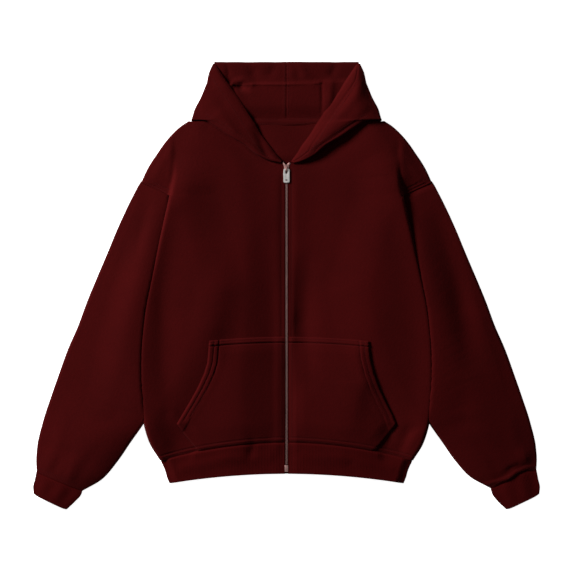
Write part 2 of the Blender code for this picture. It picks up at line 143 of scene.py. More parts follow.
def shell(name, points, quads, thick, material):
    # closed wall of cloth round a middle surface
    points = np.asarray(points, float).reshape(-1, 3)
    used = np.unique(quads)
    renumber = np.zeros(len(points), int)
    renumber[used] = np.arange(len(used))
    points, quads = points[used], renumber[quads]
    corner = points[quads]
    normal = np.cross(corner[:, 2] - corner[:, 0], corner[:, 3] - corner[:, 1])
    total = np.zeros_like(points)
    for column in range(4):
        np.add.at(total, quads[:, column], normal)
    total /= np.maximum(np.linalg.norm(total, axis=1, keepdims=True), 1e-9)
    over = points + total * thick / 2
    under = points - total * thick / 2
    count = len(points)
    edges = np.concatenate([quads[:, [a, (a + 1) % 4]] for a in range(4)])
    keys = np.sort(edges, axis=1)
    _, first, seen = np.unique(keys, axis=0, return_index=True, return_counts=True)
    rim = edges[first[seen == 1]]
    sides = np.stack([rim[:, 1], rim[:, 0], rim[:, 0] + count, rim[:, 1] + count], axis=-1)
    faces = np.concatenate([quads, quads[:, ::-1] + count, sides])
    every = np.concatenate([over, under])
    corner = every[faces]
    volume = np.einsum("ij,ij->i", corner[:, 0], np.cross(corner[:, 1], corner[:, 2])).sum()
    volume += np.einsum("ij,ij->i", corner[:, 0], np.cross(corner[:, 2], corner[:, 3])).sum()
    if volume < 0:
        faces = faces[:, ::-1]
    return addMesh(name, every, faces, material)


def settle(piece, node, body=garment):
    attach(piece, body)
    if node:
        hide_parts(node)
    return piece


fleeceLook = {
    "colour": (0.0275, 0.0001, 0.0002),
    "light": (0.0340, 0.0003, 0.0004),
    "mottle": (0.36, 0.66),      # where the noise is the darker red, and where the lighter
    "pillShare": 0.45,           # how much of that noise is pilling
    "rough": 0.92,
    "specular": 0.03,
    "sheen": 0.007,
    "sheenRough": 0.9,
    "sheenTint": (1.0, 0.46, 0.44, 1.0),
    "nap": 900.0,                # noise scales, per metre
    "pill": 260.0,
    "drift": 9.0,
    "bump": 0.00035,             # height of the nap, in metres
    "napStrength": 0.55,
    "pillStrength": 0.5,
    "pillRise": 2.2,             # height of the pilling over that of the nap
}
ribLook = dict(fleeceLook, colour=(0.0305, 0.0001, 0.0002), light=(0.036, 0.0004, 0.0005),
               nap=1300.0, pill=500.0, bump=0.00025, sheen=0.006)
tapeLook = dict(fleeceLook, colour=(0.026, 0.0001, 0.0002), light=(0.034, 0.0005, 0.0006),
                nap=1500.0, pill=700.0, bump=0.0002, sheen=0.005, rough=0.85)
threadLook = {"colour": (0.033, 0.0010, 0.0011), "rough": 0.75, "specular": 0.08,
              "twist": 1800.0, "shades": (0.7, 1.3)}
metalLook = {"colour": (0.46, 0.26, 0.24), "rough": 0.5, "wear": 90.0, "wearRough": (-0.1, 0.14),
             "dull": 0.72, "cleanFrom": 0.6}
tabLook = dict(metalLook, colour=(0.90, 0.86, 0.83), rough=0.4, wear=140.0)


def newMaterial(name):
    material = bpy.data.materials.new(name)
    material.use_nodes = True
    nodes = material.node_tree.nodes
    return material, nodes, material.node_tree.links, nodes["Principled BSDF"]


def noiseNode(nodes, links, scale, detail, rough=0.6):
    place = nodes.new("ShaderNodeTexCoord")
    noise = nodes.new("ShaderNodeTexNoise")
    noise.inputs["Scale"].default_value = scale
    noise.inputs["Detail"].default_value = detail
    noise.inputs["Roughness"].default_value = rough
    links.new(place.outputs["Object"], noise.inputs["Vector"])
    return noise.outputs["Fac"]


def bumpNode(nodes, links, height, strength, distance):
    bump = nodes.new("ShaderNodeBump")
    bump.inputs["Strength"].default_value = strength
    bump.inputs["Distance"].default_value = distance
    links.new(height, bump.inputs["Height"])
    return bump


def shadeBetween(nodes, links, shader, noise, colours, places=(0.0, 1.0)):
    # the base colour runs from the first colour to the second with a noise
    ramp = nodes.new("ShaderNodeValToRGB")
    for element, colour, place in zip(ramp.color_ramp.elements, colours, places):
        element.position = place
        element.color = (*colour, 1)
    links.new(noise, ramp.inputs["Fac"])
    links.new(ramp.outputs["Color"], shader.inputs["Base Color"])


def scaled(colour, share):
    return tuple(c * share for c in colour)


def setInputs(shader, values):
    for name, value in values.items():
        shader.inputs[name].default_value = value


def clothMaterial(name, look):
    material, nodes, links, shader = newMaterial(name)
    drift = noiseNode(nodes, links, look["drift"], 3.0)
    pill = noiseNode(nodes, links, look["pill"], 3.0)
    nap = noiseNode(nodes, links, look["nap"], 2.0, 0.7)
    blend = nodes.new("ShaderNodeMix")
    blend.data_type = "FLOAT"
    blend.inputs["Factor"].default_value = look["pillShare"]
    links.new(drift, blend.inputs["A"])
    links.new(pill, blend.inputs["B"])
    shadeBetween(nodes, links, shader, blend.outputs["Result"], (look["colour"], look["light"]),
                 look["mottle"])
    fine = bumpNode(nodes, links, nap, look["napStrength"], look["bump"])
    coarse = bumpNode(nodes, links, pill, look["pillStrength"], look["bump"] * look["pillRise"])
    links.new(fine.outputs["Normal"], coarse.inputs["Normal"])
    links.new(coarse.outputs["Normal"], shader.inputs["Normal"])
    setInputs(shader, {"Roughness": look["rough"], "Specular IOR Level": look["specular"],
                       "Sheen Weight": look["sheen"], "Sheen Roughness": look["sheenRough"],
                       "Sheen Tint": look["sheenTint"]})
    return material


def threadMaterial(name, look):
    material, nodes, links, shader = newMaterial(name)
    twist = noiseNode(nodes, links, look["twist"], 2.0)
    shades = [scaled(look["colour"], share) for share in look["shades"]]
    shadeBetween(nodes, links, shader, twist, shades)
    setInputs(shader, {"Roughness": look["rough"], "Specular IOR Level": look["specular"]})
    return material


def metalMaterial(name, look):
    material, nodes, links, shader = newMaterial(name)
    wear = noiseNode(nodes, links, look["wear"], 4.0)
    shine = nodes.new("ShaderNodeMapRange")
    shine.inputs["To Min"].default_value = look["rough"] + look["wearRough"][0]
    shine.inputs["To Max"].default_value = look["rough"] + look["wearRough"][1]
    links.new(wear, shine.inputs["Value"])
    links.new(shine.outputs["Result"], shader.inputs["Roughness"])
    shadeBetween(nodes, links, shader, wear, (scaled(look["colour"], look["dull"]), look["colour"]),
                 (0.0, look["cleanFrom"]))
    setInputs(shader, {"Metallic": 1.0})
    return material


fleece = clothMaterial("brushed fleece", fleeceLook)
rib = clothMaterial("fine rib", ribLook)
tape = clothMaterial("woven tape", tapeLook)
thread = threadMaterial("sewing thread", threadLook)
zipMetal = metalMaterial("antique silver", metalLook)
tabMetal = metalMaterial("satin nickel", tabLook)
print("hoodie: finishes made")


body = {
    "rowY": [-302, -275, -248, -234, -220, -190, -156, -120, -85, -44, -8, 50, 112, 156, 175],
    "side": [245, 264, 274, 277, 279, 282, 283, 282, 279, 274, 267, 254, 240, 230, 226],
    "shoulderY": [200, 224, 241, 254, 273, 291, 307, 317.6],
    "shoulder": [281, 270, 260, 251, 238, 223, 206, 190],
    "neckY": [226, 236, 241, 254, 273, 291, 307, 317.6],
    "neck": [3.6, 7, 21, 46, 68, 99, 123, 145],
    "zipEdge": 3.6,
    "hemDip": 36.0,
    "hemDipTop": -100.0,
    "puff": 3.2,             # extra fullness beside the side fold
    "puffWide": 26.0,
    "slope": 95.0,           # width over which the front climbs onto the sleeve
    "cap": 2.6,              # fullness over the shoulder
    "pinned": 5.0,           # the zip holds the front's edge down this far out
    "free": 16.0,            # and lets it up over this width
    "ease": 1.2,             # how much higher the front lies once it is free
    "ripple": 0.45,          # small waves that the stitched zip draws into it
}
hemRow = body["rowY"][0]
underSleeve = {
    "y": [-340, -268, -181, -85, -8, 112, 176, 255],
    "x": [328, 276, 226, 186, 172, 203, 226, 214],
}
shoulderFold = {                # where the body's side fold runs out over the shoulder
    "y": [170, 183, 220, 252, 275],
    "x": [221, 218.5, 212, 211.5, 215],
    "start": 176.0,
    "top": 262.0,
    "steep": 8.0,
}
backLift = {                    # how far in the back panel is lifted by a sleeve, row by row
    "y": [-340, -268, -181, -85, -8, 112, 176, 201],
    "x": [328, 276, 226, 186, 157, 203, 227, 282],
    "wide": 18.0,
    "fade": 25.0,
}
# ridges above 0, troughs below: path, wide on the left and right of it, start, middle and end size
leftFolds = [
    ([(-124, 300), (-100, 226), (-84, 110), (-86, -40), (-96, -170), (-92, -300)], 37, 72, 1.8, 6.4, 4.6),
    ([(-118, 50), (-138, -50), (-158, -130), (-178, -200)], 28, 34, 0.6, 3.6, 1.0),
    ([(-222, 120), (-238, 0), (-236, -150), (-226, -240)], 26, 18, -0.8, -2.4, -1.6),
    ([(-30, 40), (-26, -60), (-30, -200), (-28, -290)], 12, 18, -0.4, -1.9, -1.4),
    ([(-156, 304), (-180, 256), (-190, 190), (-186, 90)], 52, 36, 2.6, 4.0, 0.8),
    ([(-196, -285), (-222, -240), (-250, -225)], 14, 12, 0.8, 2.0, 0.4),
    ([(-70, -326), (-64, -304), (-72, -284)], 9, 9, -1.8, -1.2, -0.2),
    ([(-34, -330), (-110, -332), (-200, -352)], 12, 9, 1.2, 1.8, 1.2),
    ([(-150, 304), (-108, 276), (-60, 243), (-18, 232)], 10, 17, -1.6, -2.6, -1.6),
]
rightFolds = [
    ([(146, 304), (164, 250), (172, 160), (168, 60), (156, -60), (138, -170), (130, -290)],
     64, 104, 3.2, 4.4, 4.4),
    ([(166, 300), (196, 264), (210, 215), (202, 160)], 27, 46, 4.4, 6.0, 0.8),
    ([(46, 196), (50, 60), (46, -70), (44, -190)], 44, 30, -1.2, -2.2, -1.0),
    ([(36, 40), (32, -74), (38, -180)], 22, 22, -1.6, -5.2, -1.6),
    ([(126, -116), (142, -185), (120, -262)], 24, 46, 1.0, 4.2, 1.8),
    ([(186, -215), (202, -275), (192, -330)], 14, 16, -0.4, -1.6, -0.8),
    ([(222, -312), (238, -280), (262, -268)], 13, 9, -2.0, -2.8, -0.4),
    ([(34, -330), (110, -332), (200, -352)], 9, 12, 1.0, 1.8, 1.0),
    ([(120, -334), (128, -352)], 12, 12, -0.6, -1.2, -0.7),
    ([(150, 304), (108, 274), (60, 243), (18, 232)], 20, 10, -1.2, -1.8, -1.2),
]


def sideAt(y):
    low = through(y, body["rowY"], body["side"])
    high = through(y, body["shoulderY"], body["shoulder"])
    seam = np.interp(y, [175, 200], [body["side"][-1], body["shoulder"][0]])
    return np.where(y <= 175, low, np.where(y < 200, seam, high))


def rowToY(x, rowY, side):
    top = body["hemDipTop"]
    low = np.clip((top - rowY) / (top - hemRow), 0, 1)
    return rowY - body["hemDip"] * low * (x / side) ** 2


def frontHeight(x, y):
    # middle of the front layer at a place; x is signed
    half = np.abs(x)
    starts = np.interp(y, underSleeve["y"], underSleeve["x"]) - 5
    climb = smoothStep((half - starts + body["slope"]) / body["slope"])
    start = shoulderFold["start"]
    fade = 1 - smoothStep((y - start) / (shoulderFold["top"] - start))
    foldX = through(y, shoulderFold["y"], shoulderFold["x"])
    drop = np.where(y > 170, 1 - smoothStep((half - foldX) / shoulderFold["steep"]), 1.0)
    height = cloth["high"] + cloth["lift"] * climb * fade * drop
    edge = np.clip(sideAt(y) - half, 0, None)
    along = 1 - smoothStep((y - 150) / 40)
    height += body["puff"] * along * np.exp(-(edge / body["puffWide"]) ** 2)
    cap = smoothStep((y - start) / 50) * smoothStep((half - foldX) / 14) * smoothStep(edge / 26)
    height += body["cap"] * cap
    near = smoothStep((half - body["pinned"]) / body["free"])
    soft = np.where(x < 0, folds(x, y, leftFolds), folds(x, y, rightFolds))
    waves = np.sin(y / 23.0 + np.sign(x)) * np.sin(y / 61.0)
    ripple = body["ripple"] * waves * np.exp(-((half - 10) / 14) ** 2)
    return height + soft * near + ripple + body["ease"] * near


def sideLift(x, y):
    # share of the lift that the back panel has where the side fold lies on a sleeve
    starts = np.interp(y, backLift["y"], backLift["x"]) - 5
    over = smoothStep((x - starts + backLift["wide"]) / backLift["wide"])
    return over * (1 - smoothStep((y - shoulderFold["start"]) / backLift["fade"]))


def seamRelief(x, y, lines):
    # stitched lines press the cloth down: path, depth and width of each
    height = np.zeros(np.shape(x))
    for path, depth, wide in lines:
        d = pathDistance(x, y, path)[0]
        height -= depth * np.exp(-(d / wide) ** 2)
    return height


def hemY(x):
    return hemRow - body["hemDip"] * (x / body["side"][0]) ** 2


def signedPath(path, sign):
    return [(sign * a, b) for a, b in path]


hemLine = [(x, float(hemY(x))) for x in range(5, 246, 24)]
frontLines = {
    "placket": [(10.2, 230), (10.2, -300)],
    "hemNear": [(x, y + 3.2) for x, y in hemLine],
    "hemFar": [(x, y + 9.4) for x, y in hemLine],
    "armNear": [(226, 178.5), (279, 203.5)],
    "armFar": [(224, 184.0), (274, 208.0)],
    "neck": [(154, 317), (134, 305), (110, 289), (79, 271), (56, 252), (30, 239.4)],
}
lineDepth = {"placket": 0.3, "neck": 2.0}       # the others take the front's own two values
lineWide = {"neck": 2.6}
front = {
    "lineDepth": 0.9,
    "lineWide": 1.5,
    "nearZip": 14.0,         # finer cells beside the zip
    "nearCells": 13,
    "farCells": 72,
    "edgeRadius": 1.3,       # of an edge that isn't a fold
    "hemPress": 1.3,
    "rollSteps": 9,
    "turnBack": 4.0,         # how far the side fold runs back under
}


def buildFront(side, sign, node):
    hemTop = body["hemDipTop"]
    rowY = np.concatenate([np.linspace(hemRow, -290, 11), np.arange(-287, 172, cloth["cell"]),
                           np.linspace(173, 203, 22), np.arange(206, 317.6, 3.0), [317.6]])
    inner = np.where(rowY < body["neckY"][0], body["zipEdge"],
                     through(rowY, body["neckY"], body["neck"]))
    edgeY = rowToY(sideAt(rowY), rowY, sideAt(rowY))
    dip = body["hemDip"] * np.clip((hemTop - rowY) / (hemTop - hemRow), 0, 1)
    outline = sideAt(np.where(rowY < hemTop, edgeY + dip, rowY))
    # 1 where the side is a fold, 0 where it is the edge that the sleeve or the hood covers
    folded = np.where(rowY > 187, smoothStep((rowY - 200.5) / 4), 1 - smoothStep((rowY - 169) / 6))
    bottom = cloth["low"] + cloth["lift"] * sideLift(outline, edgeY)
    rim = frontHeight(sign * (outline - 5.5), edgeY)
    radius = mix(front["edgeRadius"], np.clip((rim - bottom) / 2, 1.6, 6.0), folded)
    outer = outline - radius - cloth["thick"] / 2
    near = np.linspace(0, front["nearZip"], front["nearCells"])
    far = np.linspace(0, 1, front["farCells"])[1:]
    farWide = np.maximum(outer - inner - front["nearZip"], 2)
    x = np.concatenate([inner[:, None] + near,
                        (inner + front["nearZip"])[:, None] + far * farWide[:, None]], axis=1)
    y = rowToY(x, rowY[:, None], outline[:, None])
    z = frontHeight(sign * x, y)
    lines = [(signedPath(path, sign), lineDepth.get(key, front["lineDepth"]),
              lineWide.get(key, front["lineWide"])) for key, path in frontLines.items()]
    z += seamRelief(sign * x, y, lines)
    z -= front["hemPress"] * (1 - smoothStep((rowY[:, None] - hemRow) / 2.4))
    # round the side fold and back under
    turn = np.linspace(0, 1, front["rollSteps"])[1:]
    sweep = mix(0.45 * math.pi, math.pi, folded)[:, None] * turn
    deep = mix(front["edgeRadius"], np.clip((z[:, -1] - bottom) / 2, 0.8, 6.0), folded)
    rollX = x[:, -1:] + radius[:, None] * np.sin(sweep)
    rollZ = z[:, -1:] - deep[:, None] * (1 - np.cos(sweep))
    back = rollX[:, -1:] - mix(0.4, front["turnBack"], folded)[:, None]
    x = np.concatenate([x, rollX, back], axis=1)
    z = np.concatenate([z, rollZ, rollZ[:, -1:] - 0.1], axis=1)
    y = np.concatenate([y, np.repeat(y[:, -1:], front["rollSteps"], axis=1)], axis=1)
    points = np.stack([sign * x, y, z], axis=-1)
    piece = shell("front_panel_" + side, points, gridQuads(*x.shape), cloth["thick"], fleece)
    settle(piece, node)
    return piece


def buildBack():
    # its neck shows between the fronts, so it has finer cells and a crease there
    rowY = np.concatenate([np.arange(hemRow, 228, 6.0), np.arange(228, 316, 3.0), [316.0]])
    outer = sideAt(rowY) - cloth["thick"] - 7.5
    shares = np.linspace(-1, 1, 121)
    x = outer[:, None] * shares
    y = rowToY(x, rowY[:, None], sideAt(rowY)[:, None])
    z = cloth["low"] + cloth["lift"] * sideLift(np.abs(x), y)
    seen = smoothStep((y - 232) / 22) * smoothStep((100 - np.abs(x)) / 30) * smoothStep((330 - y) / 10)
    z += seen * (2.6 + 0.5 * np.sin(x / 17.0 + y / 31.0))
    z += folds(x, y, [([(-46, 262), (-38, 250), (-30, 243)], 8, 8, -1.2, -1.8, -1.0)]) * seen
    points = np.stack([x, y, z], axis=-1)
    piece = shell("back_panel", points, gridQuads(*x.shape), cloth["thick"], fleece)
    settle(piece, "back")
    return piece


clothPieces = [buildBack()]
for side, sign in bothSides:
    clothPieces.append(buildFront(side, sign, "front_" + side))
print("hoodie: body panels laid")


sleeve = {
    "outerX": [283, 307, 328, 347, 367, 386, 403, 423, 440, 456, 471, 482, 484, 483],
    "outerY": [201, 154, 108, 62, 15, -31, -77, -123, -170, -216, -262, -309, -336, -359.5],
    "innerX": [157, 166, 175, 186, 198, 212, 226, 242, 259, 277, 301, 325, 356, 394],
    "innerY": [-8, -32, -57, -85, -115, -148, -181, -210, -239, -268, -302, -337, -373, -395.5],
    "crown": [1.0, 2.6, 3.2, 3.4, 3.4, 3.4, 3.6, 4.2, 5.0, 6.2, 7.4, 7.8, 7.0, 4.2],
    "shoulder": [0.8, 4.0, 6.8, 8.0, 8.4, 8.6, 8.6, 8.4, 7.8, 6.2, 3.6, 1.4, 0.2, 0.0],
    "seamRise": {"left": [0, 0, 0, 0, 0, 0], "right": [2.5, 11, 12, 7, 7, 5]},
    "corner": (227.0, 176.0),
    "cornerShare": 0.24,
    "bulge": [1.0, 0.6, 0.3, 0.1],
    "ridge": 12.0,             # how far from the body's fold the fullest line runs
    "fall": 0.62,              # share of the width that it takes to come down from there
    "valley": 3.0,
    "valleyShare": 0.05,
    "edgeRoll": 3.4,
    "rows": 165,
    "columns": 96,
}
sleeveFolds = {
    "left": [
        ([(-268, 130), (-292, 20), (-318, -90), (-346, -210)], 26, 44, 1.4, 2.8, 1.6),
        ([(-268, 150), (-292, 60)], 10, 12, -0.8, -1.6, -0.3),
        ([(-470, -300), (-420, -320), (-372, -352)], 10, 12, -0.4, -1.3, -0.5),
        ([(-462, -345), (-440, -300), (-430, -250)], 14, 14, 0.8, 0.8, 0.2),
        ([(-418, -366), (-404, -322)], 10, 12, 0.9, 0.8, 0.0),
        ([(-446, -352), (-428, -322)], 8, 9, -0.6, -0.5, 0.0),
        ([(-402, -372), (-380, -335), (-352, -300)], 12, 14, -0.8, -0.8, -0.1),
        ([(-290, -270), (-330, -255), (-372, -262)], 14, 18, -0.6, -1.2, -0.2),
    ],
    "right": [
        ([(300, 120), (330, 10), (345, -110), (350, -210)], 24, 20, -1.0, -2.6, -1.2),
        ([(330, -90), (356, -180), (378, -262)], 44, 30, 1.0, 4.6, 2.0),
        ([(338, 60), (378, -60), (408, -180)], 26, 26, 0.4, 1.6, 0.8),
        ([(478, -349), (461, -351), (443, -359), (428, -370), (407, -377), (386, -382)],
         4.0, 3.0, 1.6, 2.4, 1.2),
        ([(474, -318), (462, -330), (446, -338)], 13, 17, 1.2, 2.6, 1.0),
        ([(446, -346), (432, -352), (420, -362)], 6, 5, -0.8, -1.6, -0.6),
        ([(452, -330), (438, -290), (430, -240)], 14, 14, 0.6, 0.8, 0.2),
        ([(412, -366), (392, -326), (360, -290)], 12, 14, -0.8, -0.9, -0.2),
        ([(300, -275), (345, -262), (390, -272)], 14, 18, -0.6, -1.2, -0.2),
    ],
}


def armholeOffset(share):
    mid = sleeve["cornerShare"]
    lineX = mix(sleeve["outerX"][0], sleeve["innerX"][0], mid)
    lineY = mix(sleeve["outerY"][0], sleeve["innerY"][0], mid)
    size = np.where(share < mid, share / mid, (1 - share) / (1 - mid))
    return (sleeve["corner"][0] - lineX) * size, (sleeve["corner"][1] - lineY) * size


def tubeSection(x, y, top, low, edgeTop, steps=7):
    # one closed section of a flattened tube, outer edge first; its underside is flat
    dxOuter, dyOuter = x[0] - x[1], y[0] - y[1]
    dxInner, dyInner = x[-1] - x[-2], y[-1] - y[-2]
    outer = np.array([dxOuter, dyOuter]) / math.hypot(dxOuter, dyOuter)
    inner = np.array([dxInner, dyInner]) / math.hypot(dxInner, dyInner)
    half = cloth["thick"] / 2
    rOuter, rInner = (edgeTop[0] - low) / 2, (edgeTop[1] - low) / 2
    px, py = x.copy(), y.copy()
    px[0], py[0] = x[0] - outer[0] * (rOuter + half), y[0] - outer[1] * (rOuter + half)
    px[-1], py[-1] = x[-1] - inner[0] * (rInner + half), y[-1] - inner[1] * (rInner + half)
    ring = [np.stack([px, py, top], axis=-1)]
    angle = np.linspace(math.pi / 2, -math.pi / 2, steps + 2)[1:-1]
    ring.append(np.stack([px[-1] + inner[0] * rInner * np.cos(angle),
                          py[-1] + inner[1] * rInner * np.cos(angle),
                          low + rInner + rInner * np.sin(angle)], axis=-1))
    ring.append(np.stack([px[::-1], py[::-1], np.full(len(px), low)], axis=-1))
    ring.append(np.stack([px[0] + outer[0] * rOuter * np.cos(angle[::-1]),
                          py[0] + outer[1] * rOuter * np.cos(angle[::-1]),
                          low + rOuter + rOuter * np.sin(angle[::-1])], axis=-1))
    return np.concatenate(ring)


def sleeveTop(x, y, share, edgeShare, row, sign, side, outerTop):
    # outer roll, then a low crown, and the full part that the body's fold leans on
    foldX, foldY = np.interp(edgeShare, share, x), np.interp(edgeShare, share, y)
    d = np.hypot(x - foldX, y - foldY)
    total = max(math.hypot(x[0] - foldX, y[0] - foldY), 20)
    fromOuter = np.where(share <= edgeShare, np.clip(1 - d / total, 0, 1), 1.0)
    covered = float(smoothStep((foldY + 318) / 110))
    free = np.sin(math.pi * fromOuter ** 1.25) ** 0.8
    crown = row["crown"] * mix(free, 1 - (1 - fromOuter) ** 2.2, covered)
    fall = min(max(sleeve["fall"] * total, 44.0), 0.8 * total)
    full = row["shoulder"] * (1 - smoothStep((d - sleeve["ridge"]) / fall))
    soft = folds(sign * x, y, sleeveFolds[side]) * np.clip(fromOuter * 6, 0, 1)
    top = outerTop + crown + full + soft
    if edgeShare < 1:
        valley = (row["shoulder"] * sleeve["valleyShare"] + 0.5) * covered
        top = top - valley * np.exp(-(d / sleeve["valley"]) ** 2)
        under = smoothStep((share - edgeShare - 0.004) / 0.03)
        lying = cloth["high"] + 0.6 * (1 - np.clip((share - edgeShare) / 0.2, 0, 1))
        top = mix(top, np.minimum(top, lying), under)
    return top


def buildSleeve(side, sign, node):
    stations = np.arange(len(sleeve["outerX"]))
    at = np.linspace(0, stations[-1], sleeve["rows"])
    outerX, outerY, innerX, innerY = (through(at, stations, sleeve[key])
                                      for key in ("outerX", "outerY", "innerX", "innerY"))
    heights = {key: through(at, stations, sleeve[key]) for key in ("crown", "shoulder")}
    bulges = np.interp(at, [0, 1, 2, 3, 4], sleeve["bulge"] + [0.0])
    share = np.linspace(0, 1, sleeve["columns"])
    offsetX, offsetY = armholeOffset(share)
    rings = []
    for row in range(len(at)):
        x = mix(outerX[row], innerX[row], share) + offsetX * bulges[row]
        y = mix(outerY[row], innerY[row], share) + offsetY * bulges[row]
        rise = np.interp(share, np.linspace(0, 1, 6), sleeve["seamRise"][side])
        y = y + rise * float(smoothStep((at[row] - 10.5) / 2.5))
        tuck = max(0.0, 1 - row / 2)          # its top edge goes under the body's
        x, y = x - 1.6 * tuck, y + 1.4 * tuck
        hidden = (y > -268) & (x < sideAt(y) - 0.5) & (share > 0.2)
        edgeShare = share[np.argmax(hidden)] if hidden.any() else 1.0
        outerTop = cloth["low"] + 2 * sleeve["edgeRoll"]
        part = {key: values[row] for key, values in heights.items()}
        top = sleeveTop(x, y, share, edgeShare, part, sign, side, outerTop)
        top = top - 3.2 * tuck
        rings.append(tubeSection(x, y, top, cloth["low"], (top[0], top[-1])))
    rings = np.array(rings)
    rings[:, :, 0] *= sign
    quads = gridQuads(*rings.shape[:2], ring=True)
    piece = shell("sleeve_panel_" + side, rings, quads, cloth["thick"], fleece)
    settle(piece, node)
    return piece


# the cuffs and the waistband are knitted in a fine rib
ribbing = {"pitch": 2.9, "deep": 0.16, "step": 0.72}
cuff = {
    "outerX": [483.4, 486.6, 490, 489.6],
    "outerY": [-358.4, -374, -389, -402.5],
    "innerX": [394, 397, 408.5, 425],
    "innerY": [-394.2, -403.5, -416.5, -433.5],
    "crown": [3.6, 3.5, 3.1, 2.6],
    "roll": [3.4, 3.4, 3.3, 3.1],
    "round": 3.6,              # how far the corners are drawn back
    "wide": 96,
    "rows": 22,
    "press": 2.2,              # the seam to the sleeve pulls it in
}


def buildCuff(side, sign, node):
    at = np.linspace(0, 3, cuff["rows"])
    keys = ("outerX", "outerY", "innerX", "innerY", "crown", "roll")
    rows = {key: through(at, range(4), cuff[key]) for key in keys}
    count = int(cuff["wide"] / ribbing["step"])
    share = np.linspace(0, 1, count)
    rings = []
    for row in range(len(at)):
        x = mix(rows["outerX"][row], rows["innerX"][row], share)
        y = mix(rows["outerY"][row], rows["innerY"][row], share)
        rise = np.interp(share, np.linspace(0, 1, 6), sleeve["seamRise"][side])
        y = y + rise * float(1 - smoothStep(at[row] / 2.2))
        corner = cuff["round"] * float(smoothStep((at[row] - 2) / 1)) * np.abs(2 * share - 1) ** 9
        x, y = x - 0.35 * corner, y + 0.93 * corner
        edge = cloth["low"] + 2 * rows["roll"][row]
        top = edge + rows["crown"][row] * np.sin(math.pi * share) ** 0.9
        wave = 0.5 * math.sin(math.pi * at[row] / 3) * np.sin(share * 17 + 2 * sign)
        press = cuff["press"] * math.exp(-(at[row] / 0.2) ** 2)
        ribs = ribbing["deep"] * np.cos(2 * math.pi * share * cuff["wide"] / ribbing["pitch"])
        rings.append(tubeSection(x, y, top + wave + ribs - press, cloth["low"], (edge, edge)))
    rings = np.array(rings)
    rings[:, :, 0] *= sign
    piece = shell("cuff_rib_" + side, rings, gridQuads(*rings.shape[:2], ring=True),
                  cloth["thick"], rib)
    settle(piece, node)
    return piece


band = {
    "share": [0.0, 0.45, 0.75, 1.0],
    "side": [244.5, 236.5, 233.0, 228.5],
    "bottom": -363.0,
    "bottomDip": 19.0,
    "roll": 3.2,
    "columns": 330,
    "flatter": 0.72,         # share of the front's own height that is left at its lower edge
}


def buildBand(node):
    shares = np.concatenate([np.linspace(0, 0.14, 7), np.linspace(0.14, 1, 17)[1:]])
    sides = through(shares, band["share"], band["side"])
    rows = []
    for share, side in zip(shares, sides):
        outer = side - band["roll"] - cloth["thick"] / 2
        x = np.linspace(body["zipEdge"], outer, band["columns"])

        def yAt(across):
            seam = hemY(across) + (1.6 if share == 0 else -0.4)
            bottom = band["bottom"] - band["bottomDip"] * (across / band["side"][-1]) ** 2
            return mix(seam, bottom, share)

        ribs = ribbing["deep"] * np.cos(2 * math.pi * x / ribbing["pitch"])
        settleDown = mix(1.0, band["flatter"], smoothStep(share))
        press = 1.1 * math.exp(-(share / 0.035) ** 2) + (1.6 if share == 0 else 0.0)
        halves = []
        for sign in (1, -1):
            raw = frontHeight(sign * x, yAt(x)) - cloth["high"]
            top = cloth["high"] + raw * settleDown + ribs - press
            top = top - 5.0 * smoothStep((x - outer + 17) / 19)
            top = top + 1.5 * smoothStep((190 - x) / 16) * (1 - smoothStep(share / 0.5))
            low = cloth["low"]
            radius = (top[-1] - low) / 2
            angle = np.linspace(math.pi / 2, -math.pi / 2, 10)[1:-1]
            arcX = outer + radius * np.cos(angle) * 0.9
            arcZ = low + radius + radius * np.sin(angle)
            backX = np.linspace(outer, 0, 120)[:-1]
            px = np.concatenate([x, arcX, backX])
            py = np.concatenate([yAt(x), np.full(8, yAt(outer)), yAt(backX)])
            pz = np.concatenate([top, arcZ, np.full(len(backX), low)])
            halves.append(np.stack([sign * px, py, pz], axis=-1))
        middle = np.array([[0, yAt(0), cloth["low"]]])
        rows.append(np.concatenate([halves[0], middle, halves[1][::-1]]))
    rows = np.array(rows)
    piece = shell("waist_rib", rows, gridQuads(*rows.shape[:2]), cloth["thick"], rib)
    settle(piece, node)
    return piece


for side, sign in bothSides:
    clothPieces.append(buildSleeve(side, sign, "sleeve_" + side))
    clothPieces.append(buildCuff(side, sign, "cuff_" + side))
clothPieces.append(buildBand("waistband"))
print("hoodie: sleeves, cuffs and waistband laid")


